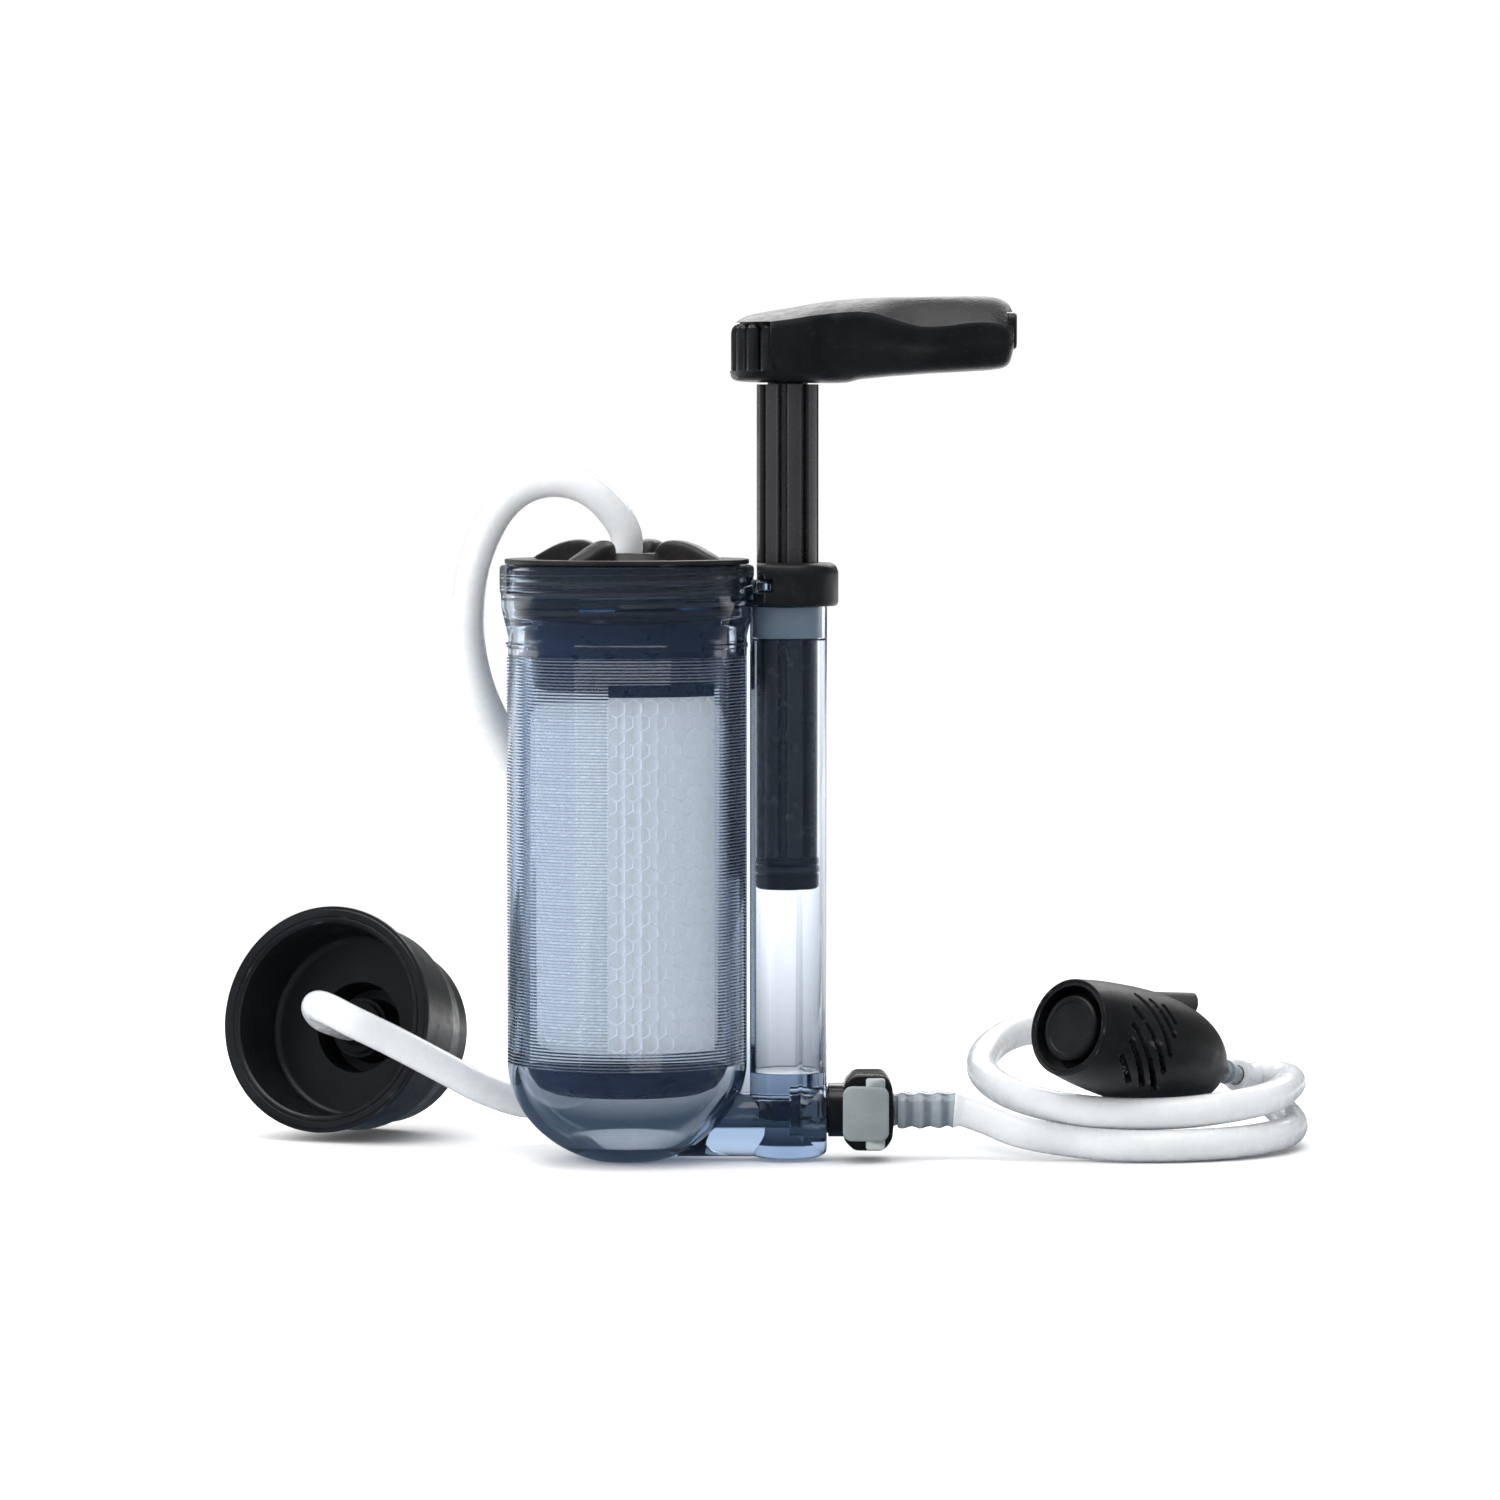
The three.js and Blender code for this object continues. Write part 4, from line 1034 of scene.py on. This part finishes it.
def prefilter():
    outside = smoothed_profile(SHELL_OUTSIDE)
    inside = [(r - SHELL_WALL, z) for r, z in outside if z > 7]
    inside += [(11.0, 52.6)]
    profile = [(2.6, 0), *outside, (11.4, 53), *reversed(inside), (6.2, 4.2), (2.6, 2.6)]
    shell = lathe(profile, FINE, 0.3)
    tools = [peg_rod(PEG["radius"] + 0.15, 0.5, 0.5)]
    for side in (0, 180):
        tools += [slot_tool(side, low, high) for low, high in SHELL_SLOTS]
    cut(shell, *tools)
    show(placed(shell, AT_PREFILTER), "prefilter_shell", BLACK, 38)
    peg = peg_rod(PEG["radius"], 0, 0, 0.4)
    show(placed(cut(peg, peg_rod(1.4, -17, 1)), AT_PREFILTER), "prefilter_peg", PEG_BROWN)
    plug = [(0, 44.6), (10.2, 44.6), (10.2, 46), (8, 46.4), (8, 52.2), (7.4, 52.8), (6.4, 52.8)]
    plug += [(6.2, 52.4), (0, 52.4)]
    show(placed(lathe(plug, FINE, 0.3), AT_PREFILTER), "prefilter_plug", BLACK)
    show(placed(screen_mesh(), AT_PREFILTER), "prefilter_screen", STEEL)
    show(placed(prefilter_barb(), AT_PREFILTER), "prefilter_barb", BARB_GREY)


def screen_mesh():
    """Woven sleeve: a cylinder of cells turned into wires."""
    columns = 48
    rows = 30
    low, height = 14, 30.2
    rings = []
    for row in range(rows + 1):
        rings.append([polar(7.75, t, low + height * row / rows) for t in turns(columns)])
    sleeve = loft(rings)
    bm = bmesh.new()
    bm.from_mesh(sleeve.data)
    bmesh.ops.delete(bm, geom=[f for f in bm.faces if len(f.verts) > 4], context="FACES_ONLY")
    bm.to_mesh(sleeve.data)
    bm.free()
    return wired(sleeve, 0.35)


def prefilter_barb():
    profile = [(1.2, -15.5), (1.5, -15.5), (2.1, -12.8), (1.9, -12.7), (2.3, -10.4), (2.3, 3)]
    profile += [(5.6, 4.6), (5.6, 6.2), (1.2, 6.2)]
    rings = []
    for i, z in enumerate((-1.6, -4.2, -6.8)):
        rings.append(lathe([(2, z - 1.6), (3.4 - 0.2 * i, z), (2, z)], 48, 0.1))
    return join(lathe(profile, 48, 0.15), *rings)


# Lid.
LID_RING_R = 29.3
LID_TOP = 144.5
RIDGE_TURNS = (-120, -30, 60, 150)  # degrees
RIDGE_CREST = [(7.6, 145.4), (9.2, 148), (11.5, 149), (14.5, 148.9), (18, 148), (22, 146.3)]
RIDGE_CREST += [(25, 145), (26.8, 144)]


def lid_body():
    profile = [
        (3, 138), (3, 142.9), (6.8, 143), (8.2, 146), (10.4, 146), (13, 143.4), (22.6, 143.2),
        (23.6, LID_TOP), (LID_RING_R, LID_TOP), (LID_RING_R, 143.3), (27.1, 143.3), (27.1, 133.2),
        (25.3, 133.2), (25.3, 131.1), (27, 130.9), (26.2, 129.7), (24.4, 129.7), (24.4, 140),
        (8.5, 140), (8.5, 126.5), (5.5, 126.5), (5.5, 138),
    ]
    return lathe(profile, FINE, 0.35)


def lid_ridge(degrees):
    """Rounded bar from the middle to the ring, bowed a little sideways, with a falling crest."""
    crest = curve_through([(x, z, 0) for x, z in RIDGE_CREST], 0.6)
    first, last = RIDGE_CREST[0][0], RIDGE_CREST[-1][0]
    base = 141.2
    rings = []
    for point in crest:
        share = (point.x - first) / (last - first)
        half = 2.75 * math.sqrt(max(0.02, 1 - abs(2 * share - 1) ** 5))
        bow = 1.6 * math.sin(math.pi * share)
        ring = [(point.x, bow - half, base), (point.x, bow + half, base)]
        for k in range(15):
            turn = math.pi * k / 14
            y = bow + half * math.copysign(abs(math.cos(turn)) ** 0.7, math.cos(turn))
            z = point.y - 2.4 + 2.4 * math.sin(turn) ** 0.8
            ring.append((point.x, y, z))
        rings.append(ring)
    return placed(loft(rings), Matrix.Rotation(math.radians(degrees), 4, "Z"))


def lid():
    body = lid_body()
    thread = helix(27.2, 0.85, THREAD_PITCH, 133.9, -math.pi / 2, 2.25)
    join(body, thread, *[lid_ridge(degrees) for degrees in RIDGE_TURNS])
    show(body, "lid", LID_BROWN, 30)
    show(torus(26.45, 0.85, 132.15, FINE), "lid_oring", SEAL_RUBBER)
    barb = [(1.3, 138.6), (2.7, 138.6), (2.7, 143.4), (5, 143.4), (5, 144.8), (2, 144.8)]
    barb += [(2, 146.8), (2.25, 147), (1.9, 149), (1.6, 150), (1.3, 150)]
    show(lathe(barb, 48, 0.15), "outlet_barb", GLOSSY)


# Bottle adapter, made along +Z with its open rim at 0 and its back below, then turned.
def bottle_adapter():
    profile = [
        (28.1, -0.35), (28.1, -1.6), (26.6, -3), (25.6, -20), (24.6, -21), (23.2, -28.6),
        (22.4, -29.2), (22.2, -35), (20.6, -36.4), (18.6, -36.4), (12.6, -29.4), (6.7, -29.4),
        (6.7, -21.4), (5, -21.4), (5, -19.2), (7.5, -19.2), (7.9, -27.4), (10.6, -27.4),
        (11.3, -18.5), (21.4, -18.1), (22.2, -17.6), (22.8, -16.9), (23.9, -0.6), (24.6, 0),
        (25.2, 0), (25.4, -0.3), (25.6, 0), (27.1, 0), (27.3, -0.35),
    ]
    cup = lathe(profile, FINE, 0.3)
    show(placed(cup, AT_ADAPTER), "bottle_adapter", CUP_RUBBER, 30)
    nipple = [(1.3, -8.6), (1.9, -8.6), (2.2, -10.6), (2, -10.7), (2.2, -13), (2.2, -14.8), (4.6, -16)]
    nipple += [(4.6, -17.2), (6.6, -17.4), (6.6, -18.9), (4.7, -18.9), (4.7, -21.7), (6.2, -21.7)]
    nipple += [(5.4, -24), (1.3, -24)]
    show(placed(lathe(nipple, ROUND, 0.2), AT_ADAPTER), "adapter_nipple", GLOSSY)


# Cartridge.
NET_R = 24.35
NET_LOW = 24.6
NET_HIGH = 112.8
NET_COLUMNS = 40
PLEATS = 40


def protector_net():
    """Net of six-sided cells rolled round the medium, turned into strands."""
    side = 2 * math.pi * NET_R / (NET_COLUMNS * math.sqrt(3))
    rows = int((NET_HIGH - NET_LOW) / (1.5 * side))
    bm = bmesh.new()
    corners = {}

    def corner(step, z):
        key = (step % (2 * NET_COLUMNS), round(z, 3))
        if key not in corners:
            turn = math.pi * step / NET_COLUMNS
            corners[key] = bm.verts.new([c * MM for c in polar(NET_R, turn, z)])
        return corners[key]

    for row in range(rows):
        middle_z = NET_LOW + side + 1.5 * side * row
        for column in range(NET_COLUMNS):
            centre = 2 * column + row % 2
            shape = [(0, 1), (1, 0.5), (1, -0.5), (0, -1), (-1, -0.5), (-1, 0.5)]
            bm.faces.new([corner(centre + dx, middle_z + side * dz) for dx, dz in shape])
    mesh = bpy.data.meshes.new("net")
    bm.to_mesh(mesh)
    bm.free()
    show(wired(linked(mesh), 0.5), "protector_net", NET, 60)


def pleated_media():
    outline = []
    steps = 4
    for i in range(PLEATS):
        for k in range(steps):
            wave = 0.5 + 0.5 * math.cos(2 * math.pi * k / steps)
            outline.append(polar(19.4 + 4.6 * wave, 2 * math.pi * (i + k / steps) / PLEATS))
    bore = [polar(12.2, 2 * math.pi * i / len(outline)) for i in range(len(outline))]
    low, high = 24.2, 116.6
    corners = ((outline, low), (outline, high), (bore, high), (bore, low))
    rings = [[(x, y, z) for x, y in flat] for flat, z in corners]
    show(loft(rings, closed=True), "pleated_media", FABRIC, 60)


def cartridge():
    top = [
        (2.2, 117.1), (24.4, 117.1), (24.7, 116.8), (24.7, 112.2), (25.5, 112.2), (25.5, 121.6),
        (24.6, 122.8), (24.6, 129.3), (23.4, 129.3), (23.4, 122.6), (6, 122.6), (5, 123.4),
        (5, 128.1), (3.9, 128.2), (3.9, 129.8), (5, 129.9), (5, 132.4), (4.4, 133), (2.2, 133),
    ]
    bottom = [(0, 16.6), (18.6, 16.6), (21.6, 18), (23.4, 20.6), (24.3, 23.3), (25.4, 24.6)]
    bottom += [(25.4, 26.6), (24.8, 26.6), (24.4, 24), (22.6, 20.7), (0, 20.7)]
    show(lathe(top, FINE, 0.2), "cartridge_top_cap", NAVY)
    show(torus(4.75, 0.6, 129), "cartridge_oring", SEAL_RUBBER)
    show(lathe(bottom, FINE, 0.4), "cartridge_bottom_cap", NAVY)
    show(tube(11.8, 5, 21, 116.7), "carbon_core", CARBON)
    core = tube(4.6, 3.6, 21, 116.7)
    holes = []
    for row in range(3):
        matrix = shift(0, 0, 40 + 27 * row) @ Matrix.Rotation(row * 0.8, 4, "Z")
        holes.append(placed(disc(1.2, -8, 8, 24), matrix @ Z_TO_X))
    show(cut(core, *holes), "core_tube", NET)
    protector_net()
    pleated_media()


# Pump.
def pump_collar():
    profile = [
        (7.75, 139.9), (9.8, 139.7), (9.8, 133.4), (11.6, 133.2), (12.2, 134), (12.2, 141.4),
        (11.6, 142.9), (10.4, 143.6), (8.3, 143.6), (7.75, 143.2),
    ]
    ring = placed(lathe(profile, FINE, 0.8), AT_PUMP)
    flange_cut = block(20, 31.2, -14, 14, 130, 146)
    skirt_cut = block(20, 32.8, -14, 14, 130, 140.8)
    lug_slot = block(30, 34.9, -14, 14, 136.6, 139.9)
    cut(ring, flange_cut, skirt_cut, lug_slot)
    show(bevelled(ring, 0.25, 2, 50), "pump_collar", BLACK, 35)


def rod_section():
    """Round lands with flat-bottomed grooves between them."""
    outline = []
    shares = [(ROD_R, 0.04 * k) for k in range(15)]
    shares += [(ROD_R - 0.3, 0.59), (ROD_R - 1.7, 0.62)]
    shares += [(ROD_R - 1.7, 0.62 + 0.035 * k) for k in range(1, 10)]
    shares += [(ROD_R - 0.3, 0.97)]
    for flute in range(ROD_FLUTES):
        outline += [polar(radius, 2 * math.pi * (flute + part) / ROD_FLUTES) for radius, part in shares]
    return outline


def piston_rod():
    shaft = prism(rod_section(), ROD_LOW, ROD_HIGH)
    spigot = [(0, 185), (4.8, 185), (4.8, 196.2), (3.8, 196.3), (3.8, 198.2), (4.8, 198.3)]
    spigot += [(4.3, 200), (0, 200)]
    join(shaft, lathe(spigot, 48, 0.2))
    cut(shaft, disc(4.3, ROD_LOW - 1, 82.5, 48))
    show(placed(shaft, AT_PUMP), "piston_rod", GLOSSY, 30)
    head = [(0, 65.3), (7, 65.3), (7.6, 65.9), (7.6, 68.6), (5.8, 68.7), (5.8, 71.2), (7.6, 71.3)]
    head += [(7.6, 72.4), (7.3, 72.7), (4, 72.7), (4, 81.5), (3.4, 82), (0, 82)]
    show(placed(lathe(head, FINE, 0.2), AT_PUMP), "piston_head", BLACK)


HANDLE_TOP = [
    (24.6, 199.4), (25.0, 200.2), (26.6, 201.4), (28.7, 202.5), (32.7, 203.4), (38.1, 204.3),
    (43.7, 205.3), (49.2, 206.1), (54.7, 206.6), (60.2, 206.9), (71.2, 207.1), (82.2, 207.2),
    (86.6, 207.1), (89.4, 206.5), (91.3, 205.3), (92.3, 203.4),
]
HANDLE_UNDER = [
    (24.6, 189.9), (25.0, 187.8), (27.1, 186.9), (36, 186.6), (45.8, 186.5), (52.5, 186.6),
    (56, 187.4), (71.2, 188.7), (82.2, 189.3), (88.5, 189.8), (90.5, 190.4), (91.6, 191.6),
    (92.3, 194.4),
]
HANDLE_HALF = [(50, 12.4), (56, 11.7), (62, 11.2), (69, 11), (76, 11), (84, 11.3), (88, 11.2)]
HANDLE_HALF += [(90.6, 10.3), (92.3, 8.6)]


def smooth_between(table, x):
    """Value at x on a smooth curve through (x, value) pairs."""
    for i in range(len(table) - 1):
        x0, v0 = table[i]
        x1, v1 = table[i + 1]
        if x <= x1:
            break
    t = min(1.0, max(0.0, (x - x0) / (x1 - x0)))
    before = table[max(i - 1, 0)]
    after = table[min(i + 2, len(table) - 1)]
    slope0 = (v1 - before[1]) / (x1 - before[0]) * (x1 - x0)
    slope1 = (after[1] - v0) / (after[0] - x0) * (x1 - x0)
    square, cube = t * t, t * t * t
    start = (2 * cube - 3 * square + 1) * v0 + (cube - 2 * square + t) * slope0
    return start + (3 * square - 2 * cube) * v1 + (cube - square) * slope1


def handle_half(x):
    hub = math.sqrt(max(0.01, HUB_R**2 - (x - PUMP_X) ** 2))
    if x < PUMP_X + 4:
        return hub
    blend = min(1.0, (x - PUMP_X - 4) / 8)
    blend = blend * blend * (3 - 2 * blend)
    return hub * (1 - blend) + smooth_between(HANDLE_HALF, x) * blend


HANDLE_RIDGE = [
    (24.6, 198.6), (26.0, 199.4), (30.0, 200.4), (38.0, 201.4), (46.0, 202.6), (54.0, 203.3),
    (59.0, 203.0), (65.0, 201.2), (70.0, 199.9), (76.0, 200.0), (82.0, 200.7), (88.0, 200.6),
    (92.3, 198.5),
]


HOLLOWS = ((1.5, 68, 13), (0.5, 88, 5))  # depth, middle and spread along X of the sides' hollows
LIP = 0.8  # strength of the sides' step inward under the ridge
CROWN = 1.6  # the lower, the sharper the top's middle line
SQUARE = 0.42  # the lower, the squarer the sides
SPACING = 0.72  # how the points of a side are spread over its height


def handle_section(x):
    """Cross-section: a crowned top down to a waving ridge, then a side that hollows under it."""
    top = smooth_between(HANDLE_TOP, x)
    under = smooth_between(HANDLE_UNDER, x)
    ridge = min(smooth_between(HANDLE_RIDGE, x), top - 0.4)
    half = handle_half(x)
    hollow = sum(depth * math.exp(-(((x - at) / spread) ** 2)) for depth, at, spread in HOLLOWS)
    top_steps = 28
    ring = []
    for k in range(top_steps):
        across = 1 - 2 * k / top_steps
        crown = 1 - abs(across) ** CROWN
        ring.append((x, half * across, ridge + (top - ridge) * crown))
    side_steps = 56
    for k in range(side_steps):
        turn = math.pi * (1 + k / side_steps)
        across, down = math.cos(turn), max(0.0, -math.sin(turn))
        y = half * math.copysign(abs(across) ** SQUARE, across)
        depth = down**SPACING
        z = ridge - (ridge - under) * depth
        dent = hollow * math.exp(-(((depth - 0.34) / 0.2) ** 2))
        lip = LIP * (1 - math.exp(-((depth / 0.12) ** 2)))
        shrink = 1 - (dent + lip * 0.4) / max(half, 3.0)
        ring.append((x, y * shrink, z))
    return ring


def finger_pocket():
    """Recess round the hub's outer side that the upright fingers stand in."""
    rings = []
    for k in range(37):
        turn = math.pi + math.radians(4 * (k - 18))
        corners = ((HUB_R - 2.4, 189.4), (HUB_R + 3, 189.4), (HUB_R + 3, 201), (HUB_R - 2.4, 201))
        rings.append([polar(r, turn, z) for r, z in corners])
    return placed(loft(rings), AT_PUMP)


def handle():
    start, end = HANDLE_TOP[0][0], HANDLE_TOP[-1][0]
    stations = [start + 0.02, start + 0.15, start + 0.4, start + 0.8, start + 1.4, start + 2.1]
    steps = 64
    stations += [27 + (88 - 27) * i / steps for i in range(steps + 1)]
    stations += [88.6, 89.3, 90, 90.6, 91.1, 91.6, 92.0, end]
    bar = loft([handle_section(x) for x in stations])
    fingers = []
    profile = [(0, 189.4), (1.75, 189.4), (1.75, 198.4), (1.5, 199.5), (0.9, 200.3), (0, 200.6)]
    for k in range(FINGERS):
        turn = math.pi + FINGER_STEP * (k - (FINGERS - 1) / 2)
        x, y = polar(HUB_R - 1.95, turn)
        fingers.append(placed(lathe(profile, 24, 0.1), shift(PUMP_X + x, y, 0)))
    bore = [(0, 185), (5.1, 185), (5.1, 195.6), (6.9, 195.8), (6.9, 198.4), (5.1, 198.6)]
    bore += [(5.1, 201), (0, 201)]
    recess = placed(prism(rounded_rect(-6.9, 6.9, 194.3, 203.5, 2.2), 90.4, 95), SECTION_TO_X)
    join(cut(bar, finger_pocket()), *fingers)
    cut(bar, placed(lathe(bore, 48, 0.2), AT_PUMP), recess)
    show(bar, "handle", GRAINED, 55)
    plug = placed(prism(rounded_rect(-6.6, 6.6, 194.6, 203.2, 2), 90.7, 93.1), SECTION_TO_X)
    show(bevelled(plug, 0.6, 4), "handle_end_plug", BLACK)
    clip = cut(tube(6.4, 4.1, 196.6, 197.9, 48), block(-8, 0, -2.4, 2.4, 196, 199))
    show(placed(clip, AT_PUMP), "handle_clip", STEEL)


def pump_seals():
    show(placed(tube(BUSH_R, 7.72, 125.5, 133, FINE), AT_PUMP), "rod_guide_bush", FROSTED)
    show(placed(tube(BUSH_R, 7.6, 133.4, 136.4, FINE), AT_PUMP), "rod_wiper_seal", SEAL_RUBBER)
    show(placed(torus(6.95, 0.93, 69.95), AT_PUMP), "piston_oring", SEAL_RUBBER)


# Studio.
BACKDROP = {
    "side": 0.3,  # share of the way to straight behind where the white begins
    "full": 0.95,
    "dark": 0.03,
    "bright": 1.9,
    "mirrored": 0.13,
    "soft_left": 1.9,
    "soft_right": 0.45,
    "floor": 0.14,
}
FLOOR_BEHIND = (0.05, 0.35)  # metres behind the object over which clear parts see it turn bright
FLOOR_FADE = (0.22, 0.75)  # metres from the middle over which the camera sees it turn plain white
AIM = (0.03, 0, 0.09)  # point the lamps are turned to, in metres
LAMPS = {  # place, width, height, power and whether shiny parts mirror it
    "top_light": ((0.0, -0.1, 1.1), 1.2, 0.9, 9, True),
    "back_light": ((0.1, 0.95, 0.75), 1.3, 0.5, 9, True),
    "left_light": ((-0.95, -0.45, 0.5), 0.5, 0.9, 9, False),
    "right_light": ((1.0, -0.1, 0.45), 0.3, 0.8, 1.5, False),
}
CAMERA = {"place": (0.0295, -1.5, 0.175), "target": (0.0295, 0, 0.0986), "lens": 150.2, "sensor": 36}


def studio_floor():
    size = 6.0
    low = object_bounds()[0].z
    mesh = bpy.data.meshes.new("studio_floor")
    square = [(-size, -size, low), (size, -size, low), (size, size, low), (-size, size, low)]
    mesh.from_pydata(square, [], [(0, 1, 2, 3)])
    mesh.materials.append(studio_white())
    linked(mesh, "studio_floor")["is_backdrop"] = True


def studio_white():
    """Lit near the object and plain white far off; clear parts see a grey floor before a bright one."""
    look = Look("studio_white")
    tone = look.ramp(look.noise(3, 2), (0.74, 0.74, 0.745), (0.76, 0.76, 0.765))
    rough = look.value(look.noise(40, 3), 0.75, 0.9)
    lit = look.principled(Base_Color=tone, Roughness=rough, Specular_IOR_Level=0.1)
    white = look.glow((1, 1, 1), 1.0)
    grey = look.glow((0.55, 0.75, 1), BACKDROP["floor"])
    centred = look.add("VectorMath", {0: look.place, 1: (-AIM[0], 0, 0)}, operation="ADD")
    distance = look.add("VectorMath", {0: centred.outputs[0]}, operation="LENGTH").outputs["Value"]
    seen = look.blend(look.value(distance, 0, 1, *FLOOR_FADE), lit, white)
    path = look.add("LightPath").outputs
    behind = look.value(look.axis("Y"), 0, 1, *FLOOR_BEHIND)
    bent = look.blend(behind, grey, look.glow((1, 1, 1), BACKDROP["bright"]))
    mirrored = look.blend(path["Diffuse Depth"], bent, lit)
    return look.surface(look.blend(path["Is Camera Ray"], mirrored, seen))


def studio_world():
    """White behind the object; darker to the sides for what clear and shiny parts mirror or bend."""
    world = bpy.data.worlds.new("studio_world")
    bpy.context.scene.world = world
    nodes = Nodes(world)

    def chosen(factor, low, high):
        return nodes.add("Mix", {0: factor, 2: low, 3: high}).outputs[0]

    path = nodes.add("LightPath").outputs
    place = nodes.add("TexCoord").outputs["Generated"]
    split = nodes.add("SeparateXYZ", {0: place}).outputs
    limits = {"Value": split["Y"], "From Min": BACKDROP["side"], "From Max": BACKDROP["full"]}
    behind = nodes.add("MapRange", limits, interpolation_type="SMOOTHSTEP").outputs[0]
    bent = chosen(behind, BACKDROP["dark"], BACKDROP["bright"])
    sideways = nodes.add("MapRange", {"Value": split["X"], "From Min": -1.0}).outputs[0]
    soft = chosen(sideways, BACKDROP["soft_left"], BACKDROP["soft_right"])
    strength = chosen(path["Is Transmission Ray"], BACKDROP["mirrored"], bent)
    strength = chosen(path["Diffuse Depth"], strength, soft)
    strength = chosen(path["Is Camera Ray"], strength, 1.0)
    background = nodes.add("Background", {"Color": (1, 1, 1, 1), "Strength": strength})
    nodes.add("OutputWorld", {"Surface": background.outputs[0]})


def turned_to(name, data, place, target):
    """Lamp or camera at a place, looking at a target."""
    obj = linked(data, name)
    obj.location = place
    direction = Vector(target) - Vector(place)
    obj.rotation_euler = direction.to_track_quat("-Z", "Y").to_euler()
    return obj


def soft_light(name, place, width, height, power, mirrored):
    light = bpy.data.lights.new(name, "AREA")
    light.shape = "RECTANGLE"
    light.size = width
    light.size_y = height
    light.energy = power
    lamp = turned_to(name, light, place, AIM)
    lamp.visible_glossy = mirrored
    lamp.visible_transmission = False


def studio():
    studio_floor()
    studio_world()
    for name, settings in LAMPS.items():
        soft_light(name, *settings)
    camera = bpy.data.cameras.new("camera")
    camera.lens = CAMERA["lens"]
    camera.sensor_width = CAMERA["sensor"]
    scene = bpy.context.scene
    scene.camera = turned_to("camera", camera, CAMERA["place"], CAMERA["target"])
    scene.view_settings.view_transform = "Standard"


housing()
valves()
coupling_body()
latch_button()
latch_spring()
coupling_insert()
inlet_hose()
outlet_hose()
prefilter()
lid()
bottle_adapter()
cartridge()
pump_collar()
piston_rod()
handle()
pump_seals()
studio()
